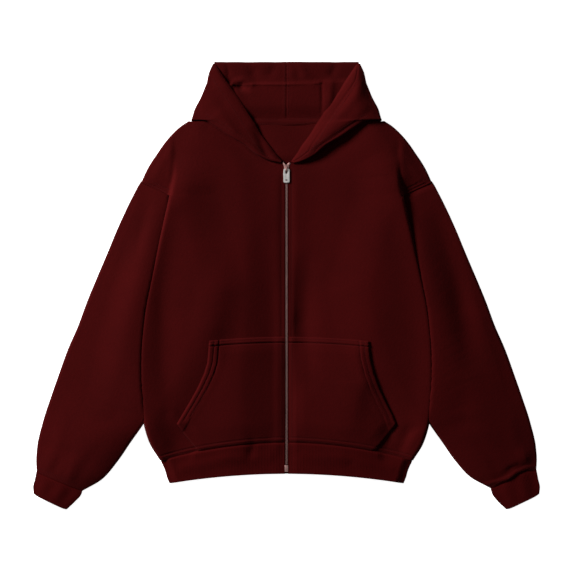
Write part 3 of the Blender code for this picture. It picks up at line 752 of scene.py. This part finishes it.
hood = {
    "outerX": [142, 150.5, 154.5, 157, 166, 178, 184, 160, 134, 111, 80, 57, 30, 14],
    "outerY": [429.5, 410, 391, 385, 363, 340, 322, 321, 307, 291, 273, 254, 241, 237.5],
    "leftX": [137, 127, 114, 109, 93, 78, 69, 61, 53, 43, 33, 23, 14, 9.5],
    "leftY": [427.5, 410.5, 391, 384, 362, 338, 324, 312, 297, 283, 270, 257, 246, 240.5],
    "rightX": [134.5, 124, 111, 106, 90, 76, 66, 58, 49, 40, 30, 22, 13, 9],
    "rightY": [427, 410.5, 391, 382, 359, 340, 324, 312, 297, 284, 271, 258, 246, 240],
    "leftTop": [8.4, 9.2, 9.4, 9.6, 10.0, 10.8, 11.8, 12.6, 12.9, 12.9, 12.6, 12.2, 11.4, 9.8],
    "rightTop": [8.4, 12, 14, 14, 15, 16.5, 18, 20, 20.5, 20, 18.5, 16, 12.5, 10],
    "leftEdge": [8.4, 9.8, 11.2, 11.6, 11.4, 11.0, 10.4, 9.4, 8.4, 7.4, 6.8, 6.4, 6.8, 8.6],
    "rightEdge": [8.4, 10, 10, 10, 9.4, 9, 8.6, 8.4, 8.4, 8.2, 8.0, 7.8, 7.6, 8.4],
    "leftBulge": [0, 0.8, 1.5, 1.8, 2.2, 2.4, 2.4, 2.4, 2.2, 2.0, 1.8, 1.4, 0.6, 0],
    "rightBulge": [0, 4, 7, 8, 9.5, 10, 9.5, 8, 6.5, 5, 3.6, 2.0, 0.6, 0],
    "leftRidge": 0.66,        # where the fullest line runs, from the outer fold
    "rightRidge": 0.40,
    "cornerRow": 6,
    "ledgeY": 388.0,
    "innerRise": 5.2,         # how far the inside climbs from the neck to the ledge
    "neckY": 316.4,
    "seamLow": 8.4,           # the neck seam lies on the fronts
    "hem": 19.0,              # depth of the opening's hem
    "hemPress": {"left": 0.0, "right": 0.5},
    "edgeRound": {"left": 0.9, "right": 2.0},
}
hoodFolds = {
    "left": [
        ([(-128, 330), (-104, 300), (-70, 268)], 9, 12, 1.2, 2.4, 1.0),
        ([(-60, 300), (-46, 268), (-38, 250)], 8, 7, -0.6, -2.4, -2.6),
        ([(-150, 392), (-120, 352), (-88, 318)], 14, 12, -0.4, -1.8, -0.8),
        ([(-170, 345), (-140, 322), (-110, 300)], 10, 10, 0.5, 1.6, 0.6),
    ],
    "right": [
        ([(150, 395), (118, 350), (80, 306), (45, 272)], 12, 11, 0.8, 2.2, 1.0),
        ([(172, 345), (134, 316), (96, 292), (60, 264)], 9, 8, -0.6, -2.0, -1.0),
        ([(140, 408), (124, 372), (96, 336)], 8, 9, -0.8, -1.8, -0.6),
    ],
}
innerFolds = [
    ([(-106, 390), (-98, 396), (-86, 398), (-74, 394), (-66, 390)], 4, 5, 1.4, 3.0, 0.9),
    ([(-97, 387), (-88, 384.5), (-79, 381)], 7, 6, -4.0, -8.6, -3.0),
    ([(-66, 390), (0, 390), (66, 394)], 2.4, 2.8, 1.1, 1.1, 1.5),
    ([(-98, 370), (-90, 352), (-76, 330)], 9, 6, 1.6, 1.6, 0.8),
    ([(68, 392), (69, 362), (68, 332)], 2.6, 2.6, -1.4, -1.9, -0.8),
    ([(86, 396), (84, 362), (78, 332)], 8, 11, 1.6, 3.0, 1.6),
    ([(26, 424), (34, 408), (52, 396)], 9, 9, 1.0, 2.2, 0.9),
    ([(-76, 428), (-62, 408), (-54, 395)], 12, 10, -0.8, -2.4, -0.9),
    ([(8, 428), (12, 410), (14, 398)], 9, 8, 0.4, 1.4, 0.6),
    ([(-118, 424), (-112, 404), (-104, 396)], 8, 8, -0.8, -1.8, -1.2),
    ([(-20, 428), (-30, 412), (-44, 402)], 9, 9, -0.5, -1.2, -0.3),
    ([(95, 426), (88, 410), (82, 398)], 8, 8, -0.9, -1.6, -0.6),
    ([(-20, 374), (10, 356), (34, 336)], 16, 14, 0.3, 1.0, 0.3),
]


def innerHeight(x, y):
    # the inside of the hood that lies on the table: its back part stands a little over the crown's
    line = hood["ledgeY"] + 5 * smoothStep((x - 40) / 40)
    back = hood["innerRise"] * smoothStep((y - 318) / 34)
    crown = 4.2 + 1.4 * smoothStep((y - 398) / 30)
    over = smoothStep((y - line) / 6.0)
    across = smoothStep((122 - np.abs(x)) / 10)
    groove = -0.5 * np.exp(-((x - 0.8) / 1.6) ** 2) + 0.35 * np.exp(-((x + 2.6) / 2.2) ** 2)
    height = mix(2.6 + back, 1.2 + crown, over)
    return np.maximum(height + (folds(x, y, innerFolds) + groove) * across, cloth["low"] + 0.3)


def buildHoodHalf(side, sign, node):
    count = len(hood["outerX"])
    at = np.unique(np.concatenate([np.linspace(0, 2, 12), np.linspace(2, 3, 12),
                                   np.linspace(3, count - 1, 70)]))
    stations = range(count)
    column = {key: through(at, stations, hood[key]) for key in
              ("outerX", "outerY", side + "X", side + "Y", side + "Top", side + "Edge", side + "Bulge")}
    corner = hood["cornerRow"]
    flatCount, rollCount, wingCount = 56, 10, 36
    rows = []
    for row, where in enumerate(at):
        below = where > corner + 1e-6
        outerX, outerY = column["outerX"][row], column["outerY"][row]
        edge = np.array([column[side + "X"][row], column[side + "Y"][row], column[side + "Edge"][row]])
        top = column[side + "Top"][row]
        lowY = outerY
        if corner - 1 < where <= corner:
            lowY = mix(outerY, hood["neckY"], smoothStep(where - corner + 1))
        share = np.linspace(0, 1, flatCount)
        reach = outerX - mix(2.2, 8.5, smoothStep(where))
        x = mix(0.15, reach, share)
        y = np.full(flatCount, lowY)
        z = innerHeight(sign * x, y)
        flat = np.stack([x, y, z], axis=-1)
        low = hood["seamLow"] if below else z[-1]
        if not below and where > corner - 1:
            low = mix(z[-1], hood["seamLow"], smoothStep(where - corner + 1))
        radius = (top - low) / 2
        if side == "left":          # this half lies closer, with its rolled edge bedded in the fronts
            bed = float(smoothStep(where - corner + 1))
            radius = mix(radius, top - float(frontHeight(sign * outerX, min(outerY, 312.0))) - 0.2, bed)
            low = top - 2 * radius
        out = np.array([edge[0] - outerX, edge[1] - outerY])
        out = -out / np.linalg.norm(out)
        inset = radius + cloth["thick"] / 2
        baseX, baseY = outerX - abs(out[0]) * inset, outerY - out[1] * inset
        angle = np.linspace(-math.pi / 2, math.pi / 2, rollCount + 2)
        grow = np.linspace(0, 1, rollCount + 2)
        startY = lowY if not below else baseY
        rollX = baseX + radius * np.cos(angle) * abs(out[0])
        rollY = mix(startY, baseY, grow) + radius * np.cos(angle) * out[1]
        rollZ = low + radius + radius * np.sin(angle)
        rollX[0] = mix(reach, baseX, 1.0 if below else 0.6)
        roll = np.stack([rollX, rollY, rollZ], axis=-1)
        wing = np.linspace(0, 1, wingCount + 1)[1:]
        wx = mix(baseX, edge[0], wing)
        wy = mix(baseY, edge[1], wing)
        ridge = hood[side + "Ridge"]
        arch = np.where(wing < ridge, np.sin(0.5 * math.pi * wing / ridge),
                        np.cos(0.5 * math.pi * (wing - ridge) / (1 - ridge)))
        wz = mix(top, edge[2], wing) + column[side + "Bulge"][row] * arch
        width = math.hypot(edge[0] - baseX, edge[1] - baseY)
        fromEdge = (1 - wing) * width
        wz += folds(sign * wx, wy, hoodFolds[side]) * smoothStep(wing / 0.15)
        hemDepth = min(hood["hem"], 0.55 * width)
        press = hood["hemPress"][side]
        wz -= press * np.exp(-((fromEdge - hemDepth) / 1.7) ** 2)
        wz += 0.6 * press * smoothStep((hemDepth - fromEdge) / 3) * smoothStep(fromEdge / 3)
        high = smoothStep((edge[2] - 5) / 5)
        wz -= hood["edgeRound"][side] * high * (1 - smoothStep(fromEdge / 5.0))
        rows.append(np.concatenate([flat, roll, np.stack([wx, wy, wz], axis=-1)]))
    # the crown turns over at the top and runs back underneath
    topRow = rows[0][:flatCount]
    crown = []
    lowest = cloth["low"]
    for share in np.linspace(0, 1, 5)[:-1]:
        line = topRow.copy()
        line[:, 1] -= mix(31, 0, share)
        line[:, 2] = lowest
        line[1:, 0] *= mix(0.975, 0.995, share)
        crown.append(line)
    for angle in np.linspace(-math.pi / 2, math.pi / 2, 9)[:-1]:
        line = topRow.copy()
        radius = (topRow[:, 2] - lowest) / 2
        line[:, 1] += radius * math.cos(angle)
        line[:, 2] = lowest + radius + radius * math.sin(angle)
        crown.append(line)
    width = flatCount + rollCount + 2 + wingCount
    crown = [np.concatenate([line, np.zeros((width - flatCount, 3))]) for line in crown]
    points = np.array(crown + rows)
    points[:, :, 0] *= sign
    keep = np.ones((len(points) - 1, width - 1), bool)
    keep[:len(crown), flatCount - 1:] = False
    firstBelow = len(crown) + int(np.argmax(at > corner + 1e-6)) - 1
    keep[firstBelow:, :flatCount] = False
    quads = gridQuads(len(points), width, keep=keep)
    piece = shell("hood_half_" + side, points, quads, cloth["thick"], fleece)
    settle(piece, node)
    return piece


neckTape = {"half": 95, "from": 311, "to": 324, "z": 5.2, "thick": 1.0}


def buildNeckTape(node):
    x = np.linspace(-neckTape["half"], neckTape["half"], 96)
    y = np.linspace(neckTape["from"], neckTape["to"], 9)
    gx, gy = np.meshgrid(x, y)
    gy = gy + 4.5 * smoothStep((gx - 30) / 32) + 0.8 * np.sin(gx / 15)
    gz = neckTape["z"] + 0.25 * np.sin(gx / 11.0) + 0.35 * np.cos((gy - 317) / 2.2)
    points = np.stack([gx, gy, gz], axis=-1)
    piece = shell("neck_tape_strip", points, gridQuads(*gx.shape), neckTape["thick"], tape)
    settle(piece, node)
    return piece


for side, sign in bothSides:
    clothPieces.append(buildHoodHalf(side, sign, "hood_" + side))
clothPieces.append(buildNeckTape("neck_tape"))
print("hoodie: hood opened out")


pocket = {
    "y": [-99, -112, -130, -145, -165, -191, -215, -235, -250, -275, -302],
    "left": [148.5, 149.5, 150.5, 152, 158, 171, 186, 200, 211, 192, 170],
    "right": [159, 160, 161.5, 164, 169.5, 180, 193, 205, 212, 192, 170],
    "slant": 8.0,               # the top edge falls away to the side
    "topStitch": (3.6, 10.4),
    "mouthStitch": (9.0, 17.5),
    "press": {"left": 0.9, "right": 0.45},
    "footStitch": (2.2, 8.2),
    "wall": 2.4,
    "cell": 1.35,
    "columns": 140,
    "fullness": 2.4,            # how much it stands up in the middle
    "mouthHem": 0.9,            # the turned hems are thicker than the single cloth
    "topHem": 0.7,
}
pocketTop = pocket["y"][0]


def pocketEdge(y, side):
    return np.interp(y, pocket["y"][::-1], pocket[side][::-1])


def pocketPath(inset, part, side):
    # stitched lines, inset from the pocket's edges, in row coordinates
    if part == "top":
        return [(5, pocketTop - inset), (pocket[side][0] - 0.2 * inset, pocketTop - inset)]
    if part == "mouth":
        rows = np.array([-101.0, -112, -130, -145, -165, -191, -215, -235, -250 + 0.5 * inset])
        return list(zip(pocketEdge(rows, side) - inset * 1.08, rows))
    return [(211 - inset * 0.2, -252 - inset * 1.15), (171 - inset * 0.6, hemRow)]


def pocketToPlan(x, rows, outline):
    slant = pocket["slant"] * (x / 160) ** 2 * (1 - smoothStep((pocketTop - rows) / 60))
    return rowToY(x, rows, outline) - slant


def buildPocket(side, sign, node):
    rowY = np.arange(hemRow + 0.4, pocketTop, pocket["cell"])[::-1]
    rowY = np.concatenate([[float(pocketTop)], rowY])
    edge = pocketEdge(rowY, side)
    share = np.linspace(0, 1, pocket["columns"])
    x = mix(body["zipEdge"], edge[:, None], share)
    rows = np.repeat(rowY[:, None], x.shape[1], axis=1)
    y = pocketToPlan(x, rows, sideAt(rowY)[:, None])
    toTop, toHem = pocketTop - rows, rows - hemRow
    toMouth = pathDistance(x, rows, pocketPath(0, "mouth", side))[0]
    toFoot = pathDistance(x, rows, pocketPath(0, "foot", side))[0]
    toEdge = np.minimum(np.minimum(np.minimum(toMouth, toFoot), toTop), toHem * 0.8)
    above = cloth["thick"] + 0.5
    above = above * mix(0.3, 1.0, smoothStep(toEdge / 2.8)) * mix(0.7, 1.0, smoothStep((x - 4) / 5))
    z = frontHeight(sign * x, y) + above
    full = smoothStep((x - 8) / 30) * smoothStep((edge[:, None] - x) / 30)
    full = full * smoothStep(toTop / 30) * smoothStep(toHem / 40)
    z += pocket["fullness"] * full
    presses = {"top": (1.2, 1.5), "mouth": (pocket["press"][side], 1.25), "foot": (0.95, 1.25)}
    for part, (depth, wide) in presses.items():
        z += seamRelief(x, rows, [(pocketPath(inset, part, side), depth, wide)
                                  for inset in pocket[part + "Stitch"]])
    z += seamRelief(x, y, [(frontLines["hemNear"], 0.8, 1.2), (frontLines["hemFar"], 0.8, 1.2)])
    z += pocket["mouthHem"] * smoothStep(toMouth / 2.0) * (1 - smoothStep((toMouth - 16) / 2.5))
    z += pocket["topHem"] * smoothStep(toTop / 1.6) * (1 - smoothStep((toTop - 8.5) / 2.0))
    points = np.stack([sign * x, y, z], axis=-1)
    piece = shell("pocket_half_" + side, points, gridQuads(*x.shape), pocket["wall"], fleece)
    settle(piece, node)
    return piece


for side, sign in bothSides:
    clothPieces.append(buildPocket(side, sign, "pocket_" + side))
print("hoodie: pockets laid on")


zipper = {
    "pitch": 2.6,
    "tooth": (2.1, 1.5, 2.0),      # across, along and high
    "tipThin": 0.62,
    "top": 237.0,
    "split": 226.0,
    "spread": 6.5,
    "bottom": -344.0,
    "tapeWide": 12.0,
    "tapeThick": 0.9,
    "chainZ": 6.8,
    "tapeZ": 4.8,
    "pocketLift": 1.2,             # the chain stands higher between the pocket's halves
}


def chainShift(y):
    return zipper["spread"] * np.clip((y - zipper["split"]) / 12, 0, 1)


def toothShape():
    # a tooth: a broad grip on the tape, a waist, and a head that is lower at its tip
    across, along, high = zipper["tooth"]
    section = [(-0.5, 1.0), (-0.1, 0.9), (0.15, 0.62), (0.36, 0.95), (0.5, 0.6)]
    points, faces = [], []
    for place, wide in section:
        half = along * wide / 2
        tall = high / 2 * (1.0 if place < 0.3 else zipper["tipThin"] + 0.2)
        ring = [(-half, -tall * 0.7), (-half * 0.7, -tall), (half * 0.7, -tall), (half, -tall * 0.7),
                (half, tall * 0.7), (half * 0.7, tall), (-half * 0.7, tall), (-half, tall * 0.7)]
        points += [(place * across, a, b) for a, b in ring]
    for ringIndex in range(len(section) - 1):
        for step in range(8):
            a, b = ringIndex * 8 + step, ringIndex * 8 + (step + 1) % 8
            faces.append((a, b, b + 8, a + 8))
    last = (len(section) - 1) * 8
    for base, flip in ((0, True), (last, False)):
        for quad in ((0, 1, 2, 3), (0, 3, 4, 7), (4, 5, 6, 7)):
            quad = [base + index for index in quad]
            faces.append(tuple(reversed(quad)) if flip else tuple(quad))
    return np.array(points), np.array(faces)


def buildChain(side, sign, node):
    shape, faces = toothShape()
    ys = np.arange(zipper["bottom"], zipper["top"], zipper["pitch"])
    if sign > 0:
        ys = ys + zipper["pitch"] / 2
    points, quads = [], []
    for index, y in enumerate(ys):
        shift = float(chainShift(y))
        lift = zipper["pocketLift"] * smoothStep((-90 - y) / 12)
        lift = lift * (1 - smoothStep((-298 - y) / 12))
        tooth = shape * [-1, 1, 1] + [0.92 + shift, y, zipper["chainZ"] + float(lift)]
        points.append(tooth * [sign, 1, 1])
        quads.append((faces if sign < 0 else faces[:, ::-1]) + index * len(shape))
    piece = addMesh("zip_teeth_" + side, np.concatenate(points), np.concatenate(quads), zipMetal)
    settle(piece, node)
    return piece


def buildZipTape(side, sign, node):
    y = np.concatenate([np.arange(-360.5, 225, 4.0), np.arange(225, 239, 1.5)])
    across = np.array([0.0, 0.7, 1.6, 2.4, 3.4, 6.0, 9.0, zipper["tapeWide"]])
    gy, ga = np.meshgrid(y, across, indexing="ij")
    gx = 1.7 + ga + chainShift(gy)
    bead = 0.6 * np.exp(-((ga - 0.9) / 0.8) ** 2)
    gz = zipper["tapeZ"] + bead
    points = np.stack([sign * gx, gy, gz], axis=-1)
    piece = shell("zip_tape_strip_" + side, points, gridQuads(*gx.shape),
                  zipper["tapeThick"], tape)
    settle(piece, node)
    return piece


def bevelled(name, mesh, width, material, segments=3):
    piece = bpy.data.objects.new(name, mesh)
    bpy.context.scene.collection.objects.link(piece)
    mesh.materials.append(material)
    rounding = piece.modifiers.new("round edges", "BEVEL")
    rounding.width = width * mm
    rounding.segments = segments
    rounding.limit_method = "ANGLE"
    rounding.angle_limit = math.radians(35)
    mesh.shade_smooth()
    return piece


def plateMesh(name, outline, low, high, holes=()):
    # flat metal plate between two heights, from its outline and the outlines of its holes
    made = bpy.data.curves.new(name, "CURVE")
    made.dimensions = "2D"
    made.fill_mode = "BOTH"
    made.extrude = (high - low) / 2 * mm
    for loop in [outline, *holes]:
        spline = made.splines.new("POLY")
        spline.points.add(len(loop) - 1)
        for point, (x, y) in zip(spline.points, loop):
            point.co = (x * mm, (y - cloth["middleY"]) * mm, 0, 1)
        spline.use_cyclic_u = True
    holder = bpy.data.objects.new(name, made)
    bpy.context.scene.collection.objects.link(holder)
    bpy.context.view_layer.update()
    shaped = holder.evaluated_get(bpy.context.evaluated_depsgraph_get())
    mesh = bpy.data.meshes.new_from_object(shaped)
    bpy.data.objects.remove(holder, do_unlink=True)
    work = bmesh.new()
    work.from_mesh(mesh)
    bmesh.ops.remove_doubles(work, verts=work.verts, dist=1e-6)
    bmesh.ops.dissolve_limit(work, angle_limit=math.radians(1), verts=work.verts, edges=work.edges)
    bmesh.ops.translate(work, verts=work.verts, vec=(0, 0, (low + high) / 2 * mm))
    bmesh.ops.recalc_face_normals(work, faces=work.faces)
    work.to_mesh(mesh)
    work.free()
    mesh.materials.clear()
    return mesh


def roundedLoop(width, length, centre, corner, steps=5):
    x0, y0 = width / 2 - corner, length / 2 - corner
    loop = []
    for cx, cy, start in ((x0, y0, 0), (-x0, y0, 90), (-x0, -y0, 180), (x0, -y0, 270)):
        for step in range(steps + 1):
            angle = math.radians(start + 90 * step / steps)
            loop.append((centre[0] + cx + corner * math.cos(angle),
                         centre[1] + cy + corner * math.sin(angle)))
    return loop


slider = {
    "y": 229.5,
    "low": 7.4,
    "thick": 1.4,
    "lowPlate": (2.8, 3.9),
    "bailWide": 1.8,
    "bailReach": (4.9, 3.5),      # outside and inside of the bail's arch, along the zip
    "hingeY": 226.0,
    "hingeZ": 9.6,
}
tab = {
    "width": 12.0,
    "length": 27.0,
    "thick": 1.4,
    "slot": (4.4, 8.4),
    "eye": (4.6, 2.2),
    "bevel": 0.4,
}
retainer = {"wide": 6.6, "long": 13, "y": -352.6, "corner": 1.2, "low": 4.2, "high": 7.9,
            "bevel": 0.5}


def buildSlider(node):
    y = slider["y"]
    shield = [(-3.2, y - 7.4), (3.2, y - 7.4), (4.3, y - 6.0), (4.6, y - 1.0), (5.2, y + 3.4),
              (7.4, y + 7.4), (6.2, y + 9.4), (3.6, y + 7.2), (1.3, y + 3.9), (-1.3, y + 3.9),
              (-3.6, y + 7.2), (-6.2, y + 9.4), (-7.4, y + 7.4), (-5.2, y + 3.4), (-4.6, y - 1.0),
              (-4.3, y - 6.0)]
    low = slider["low"]
    top = bevelled("slider_top_plate", plateMesh("slider_top", shield, low, low + slider["thick"]),
                   0.35, zipMetal)
    settle(top, node)
    inner = [(x * 0.82, b) for x, b in shield]
    lower = bevelled("slider_low_plate", plateMesh("slider_low", inner, *slider["lowPlate"]), 0.3,
                     zipMetal)
    settle(lower, None)
    # the bail is a low arch along the zip, square in section
    hingeY, half = slider["hingeY"], slider["bailWide"] / 2
    outside, inside = slider["bailReach"]
    foot = low + slider["thick"] - 0.4
    angles = np.linspace(0, math.pi, 15)
    points, faces = [], []
    for angle in angles:
        for reach, sideX in ((outside, -half), (outside, half), (inside, half), (inside, -half)):
            height = (reach - 1.9) * math.sin(angle) ** 0.75
            points.append((sideX, hingeY + reach * math.cos(angle), foot + height))
    for ring in range(len(angles) - 1):
        for step in range(4):
            a, b = ring * 4 + step, ring * 4 + (step + 1) % 4
            faces.append((a, b, b + 4, a + 4))
    last = (len(angles) - 1) * 4
    faces += [(3, 2, 1, 0), (last, last + 1, last + 2, last + 3)]
    bail = addMesh("slider_bail", points, faces, zipMetal)
    settle(bail, None)
    return top


def buildTab(node):
    y = slider["hingeY"] + 0.6
    length, width = tab["length"], tab["width"]
    outline = roundedLoop(width, length, (0, y - length / 2), 2.7)
    slotLoop = roundedLoop(*tab["slot"], (0, y - 1.3 - tab["slot"][1] / 2), 1.7)
    eyeLoop = roundedLoop(*tab["eye"], (0, y - length + 5), 1.05)
    z = slider["hingeZ"] - 0.6
    mesh = plateMesh("tab_plate", outline, z - tab["thick"] / 2, z + tab["thick"] / 2,
                     [slotLoop, eyeLoop])
    piece = bevelled("pull_tab_plate", mesh, tab["bevel"], tabMetal)
    settle(piece, node, tabBody)
    return piece


def buildRetainer(node):
    loop = roundedLoop(retainer["wide"], retainer["long"], (0, retainer["y"]), retainer["corner"])
    mesh = plateMesh("retainer", loop, retainer["low"], retainer["high"])
    piece = bevelled("retainer_box", mesh, retainer["bevel"], zipMetal)
    settle(piece, node)
    return piece


for side, sign in bothSides:
    buildChain(side, sign, "zip_chain_" + side)
    buildZipTape(side, sign, "zip_tape_" + side)
buildSlider("zip_slider")
buildTab("pull_tab")
buildRetainer("zip_retainer")
print("hoodie: zip closed")


# the stitches are laid on whatever cloth is uppermost
stitch = {
    "length": 2.5,
    "gap": 0.9,
    "wide": 0.62,
    "high": 0.5,
    "above": 0.12,           # height of its middle over the cloth
    "sunk": 0.15,            # how far its ends go down again
    "steepest": 1.2,         # a stitch that would climb more than this is left out
}


def surfaceTree():
    points, faces = [], []
    for piece in clothPieces:
        base = len(points)
        points += [vert.co.copy() for vert in piece.data.vertices]
        faces += [[base + index for index in face.vertices] for face in piece.data.polygons]
    return BVHTree.FromPolygons(points, faces)


def stitchRow(tree, path):
    path = np.asarray(path, float)
    lengths = np.hypot(*np.diff(path, axis=0).T)
    run = np.concatenate([[0], np.cumsum(lengths)])
    pitch = stitch["length"] + stitch["gap"]
    starts = np.arange(0.5, run[-1] - stitch["length"], pitch)
    row = []
    for start in starts:
        ends = []
        for at in (start, start + stitch["length"]):
            x = float(np.interp(at, run, path[:, 0]))
            y = float(np.interp(at, run, path[:, 1]))
            origin = Vector((x * mm, (y - cloth["middleY"]) * mm, 0.2))
            hit = tree.ray_cast(origin, Vector((0, 0, -1)))[0]
            if hit is None:
                break
            ends.append(np.array([x, y, hit.z / mm + stitch["above"]]))
        if len(ends) == 2 and abs(ends[0][2] - ends[1][2]) < stitch["steepest"]:
            row.append(ends)
    return row


def buildStitches(name, tree, paths):
    points, faces = [], []
    for path in paths:
        for start, end in stitchRow(tree, path):
            along = (end - start) / np.linalg.norm(end - start)
            across = np.cross([0, 0, 1], along)
            across /= np.linalg.norm(across)
            up = np.cross(along, across)
            base = len(points)
            points.append(start - up * stitch["sunk"])
            for share in (0.2, 0.8):
                middle = mix(start, end, share)
                for step in range(6):
                    angle = math.pi * step / 3
                    points.append(middle + across * math.cos(angle) * stitch["wide"] / 2
                                  + up * math.sin(angle) * stitch["high"] / 2)
            points.append(end - up * stitch["sunk"])
            for step in range(6):
                a, b = base + 1 + step, base + 1 + (step + 1) % 6
                faces += [(base, b, a), (a, b, b + 6, a + 6), (base + 13, a + 6, b + 6)]
    piece = addMesh(name, points, faces, thread)
    settle(piece, None)
    return piece


def insetPath(path, inset, sign=1):
    # line beside another, on its left when the inset is positive
    path = np.asarray(path, float)
    along = np.gradient(path, axis=0)
    along /= np.linalg.norm(along, axis=1, keepdims=True)
    beside = path + np.stack([-along[:, 1], along[:, 0]], axis=-1) * inset
    return [(sign * a, b) for a, b in beside]


def rowPath(path):
    # a line in the pocket's row coordinates, brought to the plan
    path = np.asarray(path, float)
    steps = np.linspace(0, len(path) - 1, 40)
    x = np.interp(steps, range(len(path)), path[:, 0])
    rows = np.interp(steps, range(len(path)), path[:, 1])
    return list(zip(x, pocketToPlan(x, rows, sideAt(rows))))


def seamsOf(side, sign):
    rows = [signedPath(frontLines["placket"], sign), signedPath([(10.2, -304), (10.2, -360)], sign)]
    rows += [signedPath(frontLines[key], sign) for key in ("hemNear", "hemFar", "armNear", "armFar")]
    for part in ("top", "mouth", "foot"):
        for inset in pocket[part + "Stitch"]:
            rows.append(signedPath(rowPath(pocketPath(inset, part, side)), sign))
    rise = sleeve["seamRise"][side]
    cuffSeam = [(483 - 89 * step / 5, -359.5 - 36 * step / 5 + rise[step]) for step in range(6)]
    rows += [insetPath(cuffSeam, -inset, sign) for inset in (3.0, 8.5)]
    neckSeam = list(zip(hood["outerX"][7:13], hood["outerY"][7:13]))
    rows += [insetPath(neckSeam, -inset, sign) for inset in (7.0, 12.5)]
    edge = list(zip(hood[side + "X"], hood[side + "Y"]))[1:-3]
    rows.append(insetPath(edge, hood["hem"], sign))
    rows += [[(sign * 3.4, 429), (sign * 3.4, 330)]]
    return rows


tree = surfaceTree()
for side, sign in bothSides:
    buildStitches("stitches_" + side, tree, seamsOf(side, sign))
buildStitches("stitches_neck_tape", tree, [[(-58, 313), (30, 313.5), (60, 318)],
                                           [(-58, 322), (30, 322.4), (60, 327)]])
print("hoodie: seams stitched")


studio = {
    "floor": (0.93, 0.93, 0.93),
    "floorGlow": 0.95,
    "floorRough": 0.8,
    "floorReach": 8.0,
    "floorZ": -0.0003,
    "world": 0.05,
    "key": {"from": (-3.75, 2.3, 1.70), "size": 1.25, "power": 640.0},
    "fill": {"from": (0.3, -0.2, 3.4), "size": 2.6, "power": 6.0},
    "cameraHigh": 4.2,
    "clothTop": 0.012,             # the height that the view is measured at
    "shows": 1.1059,               # width of the view on the garment
    "sensor": 36.0,
    "centre": (0.0, 0.0006),
}


def buildStudio():
    material, nodes, links, shader = newMaterial("white table")
    setInputs(shader, {"Base Color": (*studio["floor"], 1), "Roughness": studio["floorRough"],
                       "Specular IOR Level": 0.1, "Emission Color": (1, 1, 1, 1),
                       "Emission Strength": studio["floorGlow"]})
    mesh = bpy.data.meshes.new("table")
    reach = studio["floorReach"]
    mesh.from_pydata([(a * reach, b * reach, studio["floorZ"])
                      for a, b in ((-1, -1), (1, -1), (1, 1), (-1, 1))], [], [(0, 1, 2, 3)])
    mesh.materials.append(material)
    table = bpy.data.objects.new("table", mesh)
    bpy.context.scene.collection.objects.link(table)
    world = bpy.data.worlds.new("soft room")
    world.use_nodes = True
    setInputs(world.node_tree.nodes["Background"],
              {"Color": (1, 1, 1, 1), "Strength": studio["world"]})
    bpy.context.scene.world = world
    for name in ("key", "fill"):
        made = studio[name]
        lamp = bpy.data.lights.new(name, "AREA")
        lamp.shape = "DISK"
        lamp.size = made["size"]
        lamp.energy = made["power"]
        holder = bpy.data.objects.new(name, lamp)
        holder.location = made["from"]
        holder.rotation_euler = (-Vector(made["from"])).to_track_quat("-Z", "Y").to_euler()
        bpy.context.scene.collection.objects.link(holder)
    view = bpy.data.cameras.new("view")
    view.sensor_width = studio["sensor"]
    view.lens = studio["sensor"] * studio["cameraHigh"] / studio["shows"]
    view.clip_end = 50
    camera = bpy.data.objects.new("view", view)
    camera.location = (*studio["centre"], studio["cameraHigh"] + studio["clothTop"])
    bpy.context.scene.collection.objects.link(camera)
    bpy.context.scene.camera = camera
    bpy.context.scene.view_settings.view_transform = "Standard"


buildStudio()
print("hoodie: studio set")
